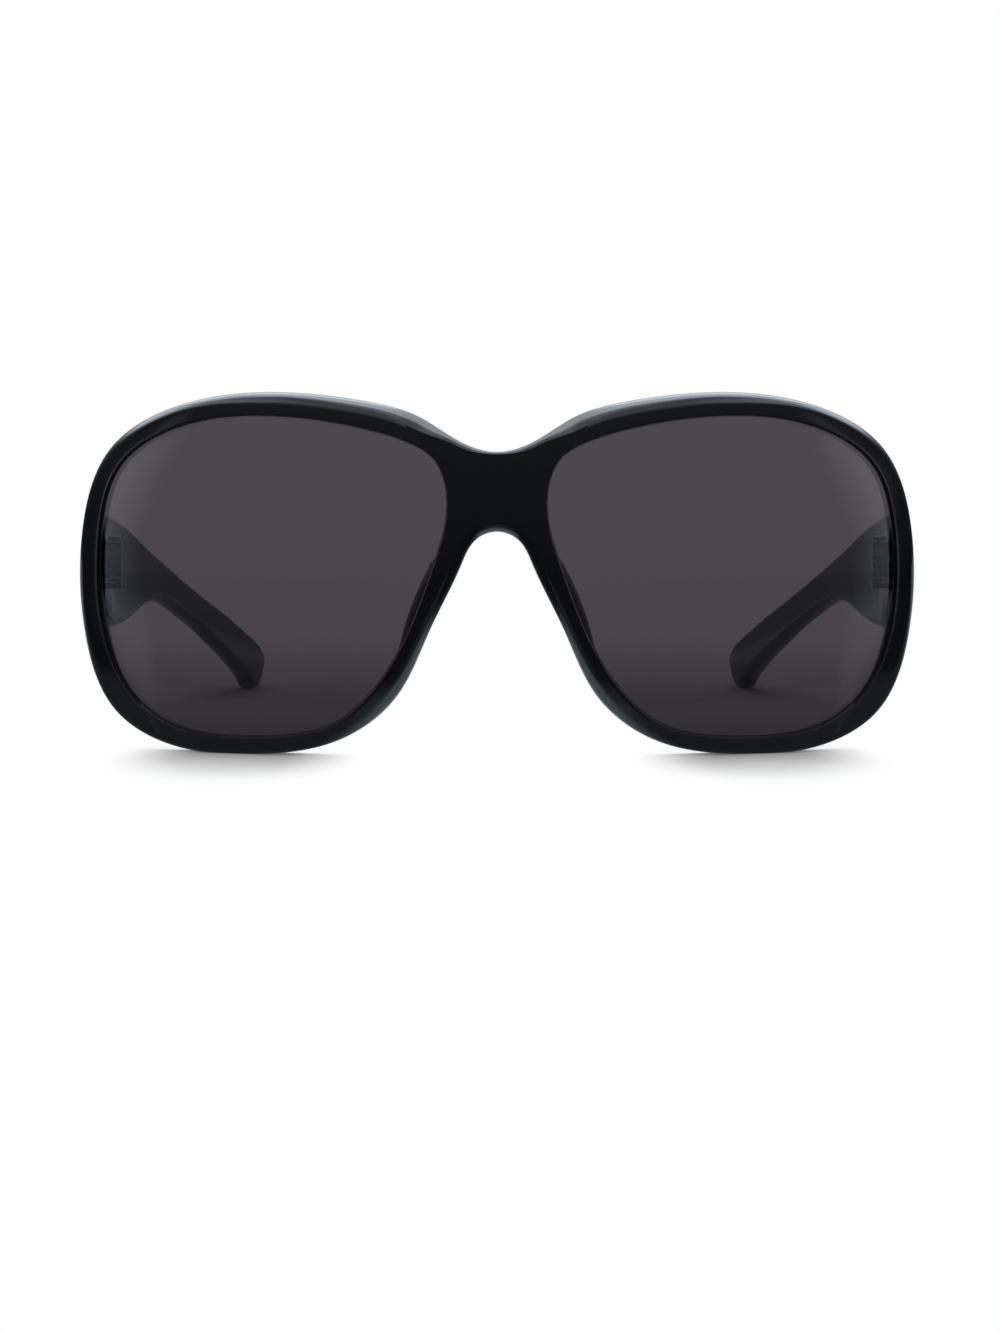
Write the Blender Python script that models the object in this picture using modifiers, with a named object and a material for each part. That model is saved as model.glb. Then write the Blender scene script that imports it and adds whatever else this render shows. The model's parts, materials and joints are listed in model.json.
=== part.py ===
"""Square acetate sunglasses, resting open on their rims and temple tips.

X runs from the wearer's right to the wearer's left, the front faces -Y and the temples run to +Y.
The wearer's left half is modelled, and the right half is its mirror image.
"""
from math import cos, pi, radians, sin, sqrt, tan

import bmesh
import bpy
import numpy as np
from mathutils import Matrix, Vector

# Lens openings as seen from the front, the rim round them and the bridge between them
lens_width = 0.0587
lens_height = 0.0535
lens_spacing = 0.0169
rim_width = 0.0040
rim_foot = 0.00345
lens_middle_height = rim_foot + lens_height / 2
lens_edge_x = lens_spacing / 2 + lens_width
front_width = 2 * (lens_edge_x + rim_width)
front_height = lens_middle_height + lens_height / 2 + rim_width

# How the flat sheet is bent round the face, with its upright curve centred on the lenses
wrap_radius = 0.140
wrap_flat = 0.006
upright_radius = 0.140
front_lean = radians(2.0)

# Lens, and the clearance that pieces are seated with
lens_thickness = 0.0018
lens_edge_cut = 0.0003
lens_ring_shares = (0.42, 0.78)
seat_gap = 0.0003

# Rim section: lips before and behind the lens slot, edges and the thicker endpieces
lip_width = 0.0010
lip_depth = 0.0012
rear_lip = 0.0008
slot_depth = 0.00095
front_thickness = lip_depth + 2 * seat_gap + lens_thickness + rear_lip
edge_cut = 0.0028
facet_depth_share = 0.85
back_round = 0.0009
endpiece_extra = 0.0020

# Nose pads, bonded behind the nasal rims
pad_height = 0.0066
pad_end_height = 0.0007
pad_lean_share = 0.42
pad_arch_power = 0.8

# Hinges: knuckles about one upright screw, whose axis stands just inside the lens edge
hinge_inset = 0.00195
hinge_rise = 0.0010
land_depth = 0.00035
knuckle_radius = 0.00135
knuckle_gap = 0.00025
knuckle_count = 5
leaf_height = 0.0078
leaf_thickness = 0.0009
endpiece_rim_share = 0.9075
endpiece_wall = 0.00038
temple_leaf_length = 0.0104
hinge_axis_x = lens_edge_x - hinge_inset
hinge_height = lens_middle_height + hinge_rise
axis_behind_land = knuckle_radius + knuckle_gap
front_leaf_reach = hinge_inset + endpiece_rim_share * rim_width - seat_gap - endpiece_wall

# Hinge screws and the small countersunk screws that hold the leaves
hinge_screw_radius = 0.0005
hinge_head_radius = 0.00115
hinge_head_height = 0.0007
leaf_screw_radius = 0.00035
leaf_head_radius = 0.0007
leaf_screw_length = 0.0021
screw_gap = 0.00025
screw_slot = 0.00030
sink_depth_share = 0.6
mouth_lift = 0.00003
leaf_screw_spread_share = 0.295
temple_screw_share = 0.635
bore_radius = hinge_screw_radius + seat_gap
leaf_screw_hole = leaf_screw_radius + screw_gap
leaf_screw_spread = leaf_screw_spread_share * leaf_height
front_screw_offset = (hinge_inset + slot_depth + front_leaf_reach) / 2
temple_screw_offset = temple_screw_share * temple_leaf_length

# Temples
temple_length = 0.1171
temple_rise = 0.0088
temple_top = hinge_height + temple_rise
temple_thickness = 0.0039
temple_straight = 0.0115
temple_inset = 0.0198
temple_bend_power = 1.3
temple_edge_round = 0.0015
corner_share = 0.45
butt_gap = 0.0003

# Core wires, in channels that clear the hinge leaves
wire_radius = 0.0005
wire_wall = 0.00035
wire_length_share = 0.92
wire_settle = 0.0293
wire_points = 17
wire_channel_radius = wire_radius + seat_gap
wire_depth = leaf_thickness + seat_gap + wire_wall + wire_channel_radius

# The flat that the rims and the temple tips stand on, how far a cutter runs past its work,
# and the distance within which two points are one
rest_cut = 0.00015
overrun = 0.0010
weld_distance = 0.00001

# Each row is one station of the rim, from the bridge over the brow and round to the nose arch:
# lens edge x and z, outer edge x and z, edge cut, facet, lip width, endpiece.
# The outer edge is given in rim widths from the lens edge, but on the bridge rows its x is given
# in half the lens spacing from the middle.
rim_shares = [
    (-0.965, 0.657, 0.000, 0.795, 0.12, 1.0, 0.30, 0.0),
    (-0.922, 0.734, 0.731, 0.714, 0.30, 1.0, 0.30, 0.0),
    (-0.813, 0.815, -0.236, 1.190, 0.76, 1.0, 0.30, 0.0),
    (-0.541, 0.912, 0.022, 1.190, 0.69, 0.45, 0.30, 0.0),
    (0.024, 0.994, -0.130, 1.010, 0.68, 0.0, 0.30, 0.0),
    (0.526, 0.924, 0.324, 0.837, 0.42, 0.0, 0.35, 0.0),
    (0.879, 0.673, 0.519, 0.729, 0.42, 0.0, 0.55, 0.3),
    (0.995, 0.226, 0.887, 0.195, 0.34, 0.0, 0.60, 1.0),
    (0.960, -0.376, 1.065, 0.089, 0.34, 0.0, 0.80, 1.0),
    (0.795, -0.778, 0.922, -0.670, 0.36, 0.0, 0.60, 0.1),
    (0.545, -0.962, -0.065, -0.918, 0.36, 0.0, 0.40, 0.0),
    (0.114, -1.012, -0.169, -0.767, 0.36, 0.0, 0.30, 0.0),
    (-0.352, -0.918, -0.140, -0.768, 0.45, 0.0, 0.30, 0.0),
    (-0.624, -0.640, -0.709, -0.697, 0.54, 0.0, 0.30, 0.0),
    (-0.796, -0.302, -0.844, -0.141, 0.50, 0.0, 0.30, 0.0),
    (-0.924, 0.075, -1.195, 0.020, 0.50, 0.0, 0.30, 0.0),
    (-0.965, 0.213, 0.412, 0.136, 0.50, 0.0, 0.30, 0.0),
    (-0.993, 0.353, 0.000, -0.470, 0.50, 0.0, 0.30, 0.0),
]
bridge_rows = (0, 1, 16, 17)
bridge_lens_share = (-0.998, 0.497)
steps_per_row = 4

# Where along the rim a nose pad starts and ends, and its place across the rim
pad_row_range = (13.25, 15.75)
pad_across_shares = (0.14, 0.84)

# Temple side view: place along the temple, upper edge, lower edge and thickness
temple_shares = [
    (0.00, 1.000, 0.535, 1.00),
    (0.11, 0.976, 0.492, 1.00),
    (0.20, 0.933, 0.487, 0.96),
    (0.27, 0.880, 0.508, 0.92),
    (0.35, 0.807, 0.545, 0.88),
    (0.42, 0.746, 0.545, 0.86),
    (0.50, 0.674, 0.500, 0.84),
    (0.57, 0.611, 0.441, 0.84),
    (0.66, 0.532, 0.359, 0.84),
    (0.75, 0.452, 0.262, 0.85),
    (0.82, 0.389, 0.183, 0.87),
    (0.88, 0.328, 0.107, 0.88),
    (0.925, 0.282, 0.036, 0.88),
    (0.950, 0.256, -0.006, 0.86),
    (0.972, 0.226, 0.006, 0.80),
    (0.989, 0.193, 0.060, 0.72),
    (1.00, 0.160, 0.120, 0.60),
]

# How height and thickness start at the butt and end at the tip, each row in the table's order
temple_end_slopes = ((1.0, 0.0, -0.06, 0.0), (0.30, -0.50, 0.70, -0.50))


def new_collection(name):
    collection = bpy.data.collections.new(name)
    bpy.context.scene.collection.children.link(collection)
    return collection


def clear_scene():
    for item in list(bpy.data.objects):
        bpy.data.objects.remove(item, do_unlink=True)


def material(name, colour, roughness, metallic=0.0, transmission=0.0):
    """One Principled material; transmission is for the tinted lens."""
    made = bpy.data.materials.new(name)
    made.use_nodes = True
    shader = made.node_tree.nodes["Principled BSDF"]
    shader.inputs["Base Color"].default_value = (*colour, 1.0)
    shader.inputs["Roughness"].default_value = roughness
    shader.inputs["Metallic"].default_value = metallic
    shader.inputs["Transmission Weight"].default_value = transmission
    return made


def solid(name, points, faces, finish, smooth_angle=radians(28.0)):
    """Mesh object from a loft's points and faces, facing outward and shaded smooth."""
    mesh = bpy.data.meshes.new(name)
    mesh.from_pydata([tuple(float(c) for c in p) for p in points], [], faces)
    mesh.validate()
    made = bpy.data.objects.new(name, mesh)
    parts.objects.link(made)
    mesh.materials.append(finish)
    mesh.shade_smooth()
    mesh.set_sharp_from_angle(angle=smooth_angle)
    return made


def make_cutter(item):
    """Keep an object only as a guide for a cut."""
    for collection in list(item.users_collection):
        collection.objects.unlink(item)
    cutters.objects.link(item)
    item.hide_render = True
    item.display_type = "WIRE"
    return item


def boolean(target, tool, operation):
    step = target.modifiers.new(operation.lower(), "BOOLEAN")
    step.operation = operation
    step.solver = "EXACT"
    step.object = make_cutter(tool)
    return target


def evaluated_mesh(item, name):
    bpy.context.view_layer.update()
    graph = bpy.context.evaluated_depsgraph_get()
    mesh = bpy.data.meshes.new_from_object(item.evaluated_get(graph))
    mesh.name = name
    return mesh


def apply_all(item):
    """Turn an object and its modifiers into a plain mesh and drop the cutters it used."""
    used = [step.object for step in item.modifiers if step.type == "BOOLEAN"]
    item.data = evaluated_mesh(item, item.name)
    item.modifiers.clear()
    for tool in used:
        bpy.data.objects.remove(tool, do_unlink=True)
    return item


def mirror_copy(item, name):
    """The same piece on the wearer's other side."""
    mesh = evaluated_mesh(item, name)
    mesh.transform(Matrix.Diagonal((-1.0, 1.0, 1.0, 1.0)))
    mesh.flip_normals()
    twin = bpy.data.objects.new(name, mesh)
    parts.objects.link(twin)
    return twin


def box(name, low, high, finish):
    """Box between two corners."""
    low, high = Vector(low), Vector(high)
    bm = bmesh.new()
    bmesh.ops.create_cube(bm, size=1.0)
    bmesh.ops.scale(bm, vec=high - low, verts=bm.verts)
    bmesh.ops.translate(bm, vec=(low + high) / 2, verts=bm.verts)
    mesh = bpy.data.meshes.new(name)
    bm.to_mesh(mesh)
    bm.free()
    mesh.materials.append(finish)
    made = bpy.data.objects.new(name, mesh)
    parts.objects.link(made)
    return made


def upright_cylinder(name, centre, radius, height, finish, sides=20):
    """Cylinder about an upright line, its middle at the centre."""
    bm = bmesh.new()
    bmesh.ops.create_cone(bm, cap_ends=True, segments=sides, radius1=radius, radius2=radius, depth=height)
    bmesh.ops.translate(bm, vec=centre, verts=bm.verts)
    mesh = bpy.data.meshes.new(name)
    bm.to_mesh(mesh)
    bm.free()
    mesh.materials.append(finish)
    made = bpy.data.objects.new(name, mesh)
    parts.objects.link(made)
    return made


def curve_to_mesh(name, curve, finish):
    """Closed mesh object from a curve with filled caps."""
    carrier = bpy.data.objects.new(name + " curve", curve)
    parts.objects.link(carrier)
    mesh = evaluated_mesh(carrier, name)
    bm = bmesh.new()
    bm.from_mesh(mesh)
    bmesh.ops.remove_doubles(bm, verts=bm.verts, dist=weld_distance)
    bm.to_mesh(mesh)
    bm.free()
    made = bpy.data.objects.new(name, mesh)
    made.matrix_world = carrier.matrix_world
    bpy.data.objects.remove(carrier, do_unlink=True)
    parts.objects.link(made)
    mesh.materials.clear()
    mesh.materials.append(finish)
    return made


def flat_solid(name, outline, bottom, top, finish):
    """Flat outline in X and Y, extruded upright from bottom to top."""
    curve = bpy.data.curves.new(name, "CURVE")
    curve.dimensions = "2D"
    curve.fill_mode = "BOTH"
    curve.extrude = (top - bottom) / 2
    spline = curve.splines.new("POLY")
    spline.points.add(len(outline) - 1)
    for point, place in zip(spline.points, outline):
        point.co = (place[0], place[1], 0.0, 1.0)
    spline.use_cyclic_u = True
    made = curve_to_mesh(name, curve, finish)
    made.data.transform(Matrix.Translation((0.0, 0.0, (top + bottom) / 2)))
    return made


def tube(name, path, radius, finish):
    """Round bar along a path of points."""
    curve = bpy.data.curves.new(name, "CURVE")
    curve.dimensions = "3D"
    curve.bevel_depth = radius
    curve.bevel_resolution = 2
    curve.use_fill_caps = True
    spline = curve.splines.new("POLY")
    spline.points.add(len(path) - 1)
    for point, place in zip(spline.points, path):
        point.co = (*place, 1.0)
    return curve_to_mesh(name, curve, finish)


def through_points(points, steps, closed, ends=None):
    """Smooth curve through points, with equal steps between each two of them.

    The second derivative is continuous; an open curve leaves in the directions given as ends.
    """
    p = np.array(points, dtype=float)
    count = len(p)
    spans = count if closed else count - 1
    gaps = [np.linalg.norm(p[(i + 1) % count] - p[i]) for i in range(spans)]
    matrix = np.zeros((count, count))
    target = np.zeros_like(p)
    for i in range(count):
        if not closed and i in (0, count - 1):
            matrix[i, i] = 1.0
            target[i] = ends[0] if i == 0 else ends[1]
            continue
        before, after = gaps[i - 1], gaps[i]
        follows = (i + 1) % count
        matrix[i, i - 1] += 1 / before
        matrix[i, i] += 2 / before + 2 / after
        matrix[i, follows] += 1 / after
        target[i] = 3 * ((p[i] - p[i - 1]) / before ** 2 + (p[follows] - p[i]) / after ** 2)
    slopes = np.linalg.solve(matrix, target)
    curve = []
    for i in range(spans):
        a, b, h = p[i], p[(i + 1) % count], gaps[i]
        for t in np.linspace(0.0, 1.0, steps, endpoint=False):
            start = (1 + 2 * t) * (1 - t) ** 2 * a + t * (1 - t) ** 2 * h * slopes[i]
            end = t * t * (3 - 2 * t) * b + t * t * (t - 1) * h * slopes[(i + 1) % count]
            curve.append(start + end)
    if not closed:
        curve.append(p[-1])
    return np.array(curve)


def eased(values, place):
    """Value at a place along a list, easing in and out of each entry."""
    low = min(int(place), len(values) - 1)
    high = min(low + 1, len(values) - 1)
    t = place - low
    return values[low] + (values[high] - values[low]) * t * t * (3 - 2 * t)


def front_y(x, z):
    """Front surface of the bent sheet: round the face, upright curve and lean."""
    turn = max(0.0, abs(x) - wrap_flat)
    wrap = wrap_radius - sqrt(wrap_radius ** 2 - turn ** 2)
    return wrap + (z - lens_middle_height) ** 2 / (2 * upright_radius) + z * tan(front_lean)


def land_place():
    """Depth of the flat land behind each endpiece, which the temple's butt closes against."""
    return front_y(lens_edge_x, hinge_height) + front_thickness + endpiece_extra - land_depth


def behind_front(place, depth):
    """Point at a depth behind the front surface, from a place in x and z."""
    return (place[0], front_y(place[0], place[1]) + depth, place[1])


def turned(directions, quarter):
    """Unit normals of a run of tangents, turned by a quarter either way."""
    unit = directions / np.linalg.norm(directions, axis=1)[:, None]
    return np.stack([quarter * unit[:, 1], -quarter * unit[:, 0]], axis=1)


def rim_curves():
    """Outer edge and lens edge of the left rim, with their normals, at matching stations."""
    centre = np.array([(lens_spacing + lens_width) / 2, lens_middle_height])
    half = np.array([lens_width / 2, lens_height / 2])
    lens_points = [centre + half * row[:2] for row in np.array(rim_shares)]
    outer_points = [place + rim_width * row[2:4] for place, row in zip(lens_points, np.array(rim_shares))]
    for row in bridge_rows:
        outer_points[row][0] = rim_shares[row][2] * lens_spacing / 2
    lens_points.append(centre + half * bridge_lens_share)
    outer = through_points(outer_points, steps_per_row, False, ((1.0, 0.0), (-1.0, 0.0)))
    lens = through_points(lens_points, steps_per_row, True)
    along = np.gradient(outer, axis=0)
    along[0] = (1.0, 0.0)
    along[-1] = (-1.0, 0.0)
    around = np.roll(lens, -1, axis=0) - np.roll(lens, 1, axis=0)
    return outer, turned(along, 1.0), lens, turned(around, -1.0)


def rim_section(i, outer, inward, lens, outward):
    """Cross-section of the rim at a station, from the lens slot round the outside and back."""
    place = min(i / steps_per_row, len(rim_shares) - 1)
    columns = list(zip(*rim_shares))
    cut = edge_cut * eased(columns[4], place)
    facet = eased(columns[5], place)
    lip = lip_width * eased(columns[6], place)
    on_bridge = i >= len(outer)
    back = front_thickness + endpiece_extra * eased(columns[7], place)
    slot_back = lip_depth + 2 * seat_gap + lens_thickness
    deep = lens[i] + outward[i] * slot_depth
    inner = lens[i] + outward[i] * lip
    back_inner = lens[i] + outward[i] * seat_gap * 2

    if on_bridge:
        last = len(outer) - 1
        share = (i - last) / (len(lens) - last)
        arch_cut = edge_cut * rim_shares[-1][4]
        brow_cut = edge_cut * rim_shares[0][4]
        low, high = outer[last][1], outer[0][1]
        face = np.array([0.0, low + arch_cut + (high - brow_cut - low - arch_cut) * share])
        rear = np.array([0.0, low + back_round + (high - low - 2 * back_round) * share])
        outside = [None] * 5
    else:
        edge = outer[i]
        depth = cut * (1 + (facet_depth_share - 1) * facet)
        face = edge + inward[i] * cut
        rear = edge + inward[i] * back_round
        outside = []
        for part, angle in ((1 / 3, pi / 6), (2 / 3, pi / 3)):
            across = (1 - sin(angle)) * (1 - facet) + (1 - part) * facet
            down = (1 - cos(angle)) * (1 - facet) + part * facet
            outside.append(behind_front(edge + inward[i] * cut * across, depth * down))
        outside.append(behind_front(edge, depth))
        outside.append(behind_front(edge, back - back_round))
        middle = edge + inward[i] * back_round * (1 - cos(pi / 4))
        outside.append(behind_front(middle, back - back_round * (1 - sin(pi / 4))))

    return [
        behind_front(deep, lip_depth),
        behind_front(lens[i], lip_depth),
        behind_front(inner, 0.0),
        behind_front((inner + face) / 2, 0.0),
        behind_front(face, 0.0),
        *outside,
        behind_front(rear, back),
        behind_front((rear + back_inner) / 2, back),
        behind_front(back_inner, back),
        behind_front(lens[i], back - seat_gap),
        behind_front(lens[i], slot_back),
        behind_front(deep, slot_back),
    ]


def build_front(finish):
    """Front frame: a lofted half rim, open at the middle of the bridge, and its mirror image."""
    outer, inward, lens, outward = rim_curves()
    sections = [rim_section(i, outer, inward, lens, outward) for i in range(len(lens))]
    points = []
    index = []
    for section in sections:
        row = []
        for place in section:
            row.append(None if place is None else len(points))
            if place is not None:
                points.append(place)
        index.append(row)
    faces = []
    for i, row in enumerate(index):
        after = index[(i + 1) % len(index)]
        for c in range(len(row)):
            d = (c + 1) % len(row)
            corners = (row[c], row[d], after[d], after[c])
            if None not in corners:
                faces.append(corners)
    front = solid("front_frame", points, faces, finish)
    mirror = front.modifiers.new("other half", "MIRROR")
    mirror.use_axis = (True, False, False)
    mirror.merge_threshold = weld_distance
    return front


def build_lens(finish):
    """Left lens: the same curve front and back, with a cut edge that sits in the rim's slot."""
    _, _, lens, outward = rim_curves()
    centre = lens.mean(axis=0)
    edge = slot_depth - seat_gap
    front = lip_depth + seat_gap
    rings = []
    for share in lens_ring_shares:
        rings.append((centre + (lens - centre) * share, front))
    rings.append((lens + outward * (edge - lens_edge_cut), front))
    rings.append((lens + outward * edge, front + lens_edge_cut))
    rings.append((lens + outward * edge, front + lens_thickness - lens_edge_cut))
    rings.append((lens + outward * (edge - lens_edge_cut), front + lens_thickness))
    for share in reversed(lens_ring_shares):
        rings.append((centre + (lens - centre) * share, front + lens_thickness))
    count = len(lens)
    points = [behind_front(centre, front)]
    for ring, depth in rings:
        points.extend(behind_front(place, depth) for place in ring)
    points.append(behind_front(centre, front + lens_thickness))
    faces = []
    for i in range(count):
        j = (i + 1) % count
        faces.append((0, 1 + j, 1 + i))
        for k in range(len(rings) - 1):
            a, b = 1 + k * count, 1 + (k + 1) * count
            faces.append((a + i, a + j, b + j, b + i))
        last = 1 + (len(rings) - 1) * count
        faces.append((last + i, last + j, len(points) - 1))
    return solid("lens_left", points, faces, finish)


def loft(name, rings, finish):
    """Solid through a run of rings with as many points each, closed at both ends."""
    count = len(rings[0])
    points = [place for ring in rings for place in ring]
    faces = [tuple(range(count))]
    for k in range(len(rings) - 1):
        for i in range(count):
            j = (i + 1) % count
            faces.append((k * count + j, k * count + i, (k + 1) * count + i, (k + 1) * count + j))
    faces.append(tuple(reversed(range((len(rings) - 1) * count, len(rings) * count))))
    return solid(name, points, faces, finish)


def build_nose_pad(finish):
    """Left nose pad: an arched section that leans away from the nose, lofted along the rim."""
    outer, _, lens, _ = rim_curves()
    start, end = (round(row * steps_per_row) for row in pad_row_range)
    base = front_thickness + seat_gap
    near, far = pad_across_shares
    rings = []
    for i in range(start, end + 1):
        along = (i - start) / (end - start)
        height = pad_end_height + (pad_height - pad_end_height) * sin(pi * along) ** pad_arch_power
        across = lens[i] - outer[i]
        unit = across / np.linalg.norm(across)
        ring = []
        for step in range(9):
            angle = pi * step / 8
            reach = (near + far) / 2 - (far - near) / 2 * cos(angle)
            place = outer[i] + across * reach + unit * height * pad_lean_share * sin(angle)
            ring.append(behind_front(place, base + height * sin(angle)))
        rings.append(ring)
    return loft("nose_pad_left", rings, finish)


def temple_inner_x(y):
    """Inner face of the left temple: straight behind the hinge, then bending inward."""
    start = land_place() + butt_gap + temple_straight
    run = temple_length - temple_straight
    share = max(0.0, (y - start) / run)
    return hinge_axis_x + axis_behind_land - temple_inset * share ** temple_bend_power


def temple_stations():
    """Places along the temple: y, top, bottom and thickness."""
    rows = [(share * temple_length, top * temple_top, bottom * temple_top, part * temple_thickness)
            for share, top, bottom, part in temple_shares]
    curve = through_points(rows, 2, False, temple_end_slopes)
    return [(land_place() + butt_gap + y, top, bottom, thick) for y, top, bottom, thick in curve]


def build_temple(finish):
    """Left temple: rounded sections from the tall butt, over the step, to the slanted tip."""
    rings = []
    for y, top, bottom, thick in temple_stations():
        inner = temple_inner_x(y)
        radius = min(temple_edge_round, thick * corner_share, (top - bottom) * corner_share)
        corners = (
            (inner + thick - radius, top - radius, 0.0),
            (inner + radius, top - radius, pi / 2),
            (inner + radius, bottom + radius, pi),
            (inner + thick - radius, bottom + radius, 3 * pi / 2),
        )
        ring = []
        for x, z, turn in corners:
            for step in range(4):
                angle = turn + step * pi / 6
                ring.append((x + radius * cos(angle), y, z + radius * sin(angle)))
        rings.append(ring)
    return loft("temple_left", rings, finish)


def wire_path(start_y, end_y):
    """Middle line of the core wire inside the left temple."""
    path = []
    stations = np.array(temple_stations())
    rear = land_place() + butt_gap + leaf_height
    for y in np.linspace(start_y, end_y, wire_points):
        top = np.interp(y, stations[:, 0], stations[:, 1])
        bottom = np.interp(y, stations[:, 0], stations[:, 2])
        middle = (top + bottom) / 2
        blend = min(1.0, max(0.0, (y - rear) / wire_settle))
        ease = blend * blend * (3 - 2 * blend)
        thick = np.interp(y, stations[:, 0], stations[:, 3])
        side = wire_depth + (thick / 2 - wire_depth) * ease
        path.append((temple_inner_x(y) + side, y, hinge_height + (middle - hinge_height) * ease))
    return path


def knuckle_outline(turn):
    """Round knuckle with a neck down to its leaf, about the axis, turned to suit the leaf."""
    reach = axis_behind_land + leaf_thickness / 2
    outline = [(-knuckle_radius, -reach)]
    for step in range(11):
        angle = pi - pi * step / 10
        outline.append((knuckle_radius * cos(angle), knuckle_radius * sin(angle)))
    outline.append((knuckle_radius, -reach))
    c, s = cos(turn), sin(turn)
    return [(c * x - s * y, s * x + c * y) for x, y in outline]


def knuckle_levels():
    """Bottom and top of each knuckle, from the lowest up, about the hinge's mid height."""
    height = (leaf_height - (knuckle_count - 1) * knuckle_gap) / knuckle_count
    levels = []
    for k in range(knuckle_count):
        bottom = -leaf_height / 2 + k * (height + knuckle_gap)
        levels.append((bottom, bottom + height))
    return levels


def screw_solid(name, head_radius, radius, head_height, length, cone, finish):
    """Slotted screw about its own Z axis, its head's top at zero and its shank pointing down."""
    profile = [(0.0, 0.0), (head_radius, 0.0)]
    if cone:
        profile.append((head_radius, -head_height / 4))
        profile.append((radius, -head_height))
    else:
        profile.append((head_radius, -head_height))
        profile.append((radius, -head_height))
    profile.append((radius, -length + radius / 2))
    profile.append((radius / 2, -length))
    profile.append((0.0, -length))
    mesh = bpy.data.meshes.new(name)
    edges = [(i, i + 1) for i in range(len(profile) - 1)]
    mesh.from_pydata([(x, 0.0, z) for x, z in profile], edges, [])
    mesh.materials.append(finish)
    made = bpy.data.objects.new(name, mesh)
    parts.objects.link(made)
    spin = made.modifiers.new("turn", "SCREW")
    spin.steps = 12
    spin.render_steps = 12
    spin.use_merge_vertices = True
    spin.merge_threshold = weld_distance
    reach = head_radius + overrun
    slot = box(name + "_slot", (-reach, -screw_slot / 2, -screw_slot), (reach, screw_slot / 2, overrun), finish)
    boolean(made, slot, "DIFFERENCE")
    return apply_all(made)


def leaf(name, plate_low, plate_high, turn, knuckles, holes, finish):
    """Hinge leaf about its axis: a plate, its knuckles, the bore and the screw holes."""
    made = box(name, plate_low, plate_high, finish)
    levels = knuckle_levels()
    for k in knuckles:
        piece = flat_solid(f"{name}_knuckle_{k}", knuckle_outline(turn), *levels[k], finish)
        boolean(made, piece, "UNION")
    bore = upright_cylinder(name + "_bore", (0.0, 0.0, 0.0), bore_radius, leaf_height + overrun, finish, 12)
    boolean(made, bore, "DIFFERENCE")
    for hole in holes:
        boolean(made, hole, "DIFFERENCE")
    return apply_all(made)


def countersink(name, place, finish):
    """Cutter for a countersunk hole through a leaf, its mouth at the place, about the screw's axis."""
    wide = leaf_head_radius + screw_gap
    depth = leaf_thickness * sink_depth_share
    bm = bmesh.new()
    bmesh.ops.create_cone(bm, cap_ends=True, segments=12, radius1=leaf_screw_hole, radius2=wide, depth=depth)
    bmesh.ops.translate(bm, vec=(0.0, 0.0, mouth_lift - depth / 2), verts=bm.verts)
    mesh = bpy.data.meshes.new(name)
    bm.to_mesh(mesh)
    bm.free()
    mesh.transform(place)
    mesh.materials.append(finish)
    made = bpy.data.objects.new(name, mesh)
    parts.objects.link(made)
    return made


def screw_hole(name, place, length, finish):
    """Cutter for the straight hole of a leaf screw, from its mouth inward."""
    middle = (0.0, 0.0, (overrun - length) / 2)
    made = upright_cylinder(name, middle, leaf_screw_hole, length + overrun, finish, 12)
    made.data.transform(place)
    return made


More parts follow.
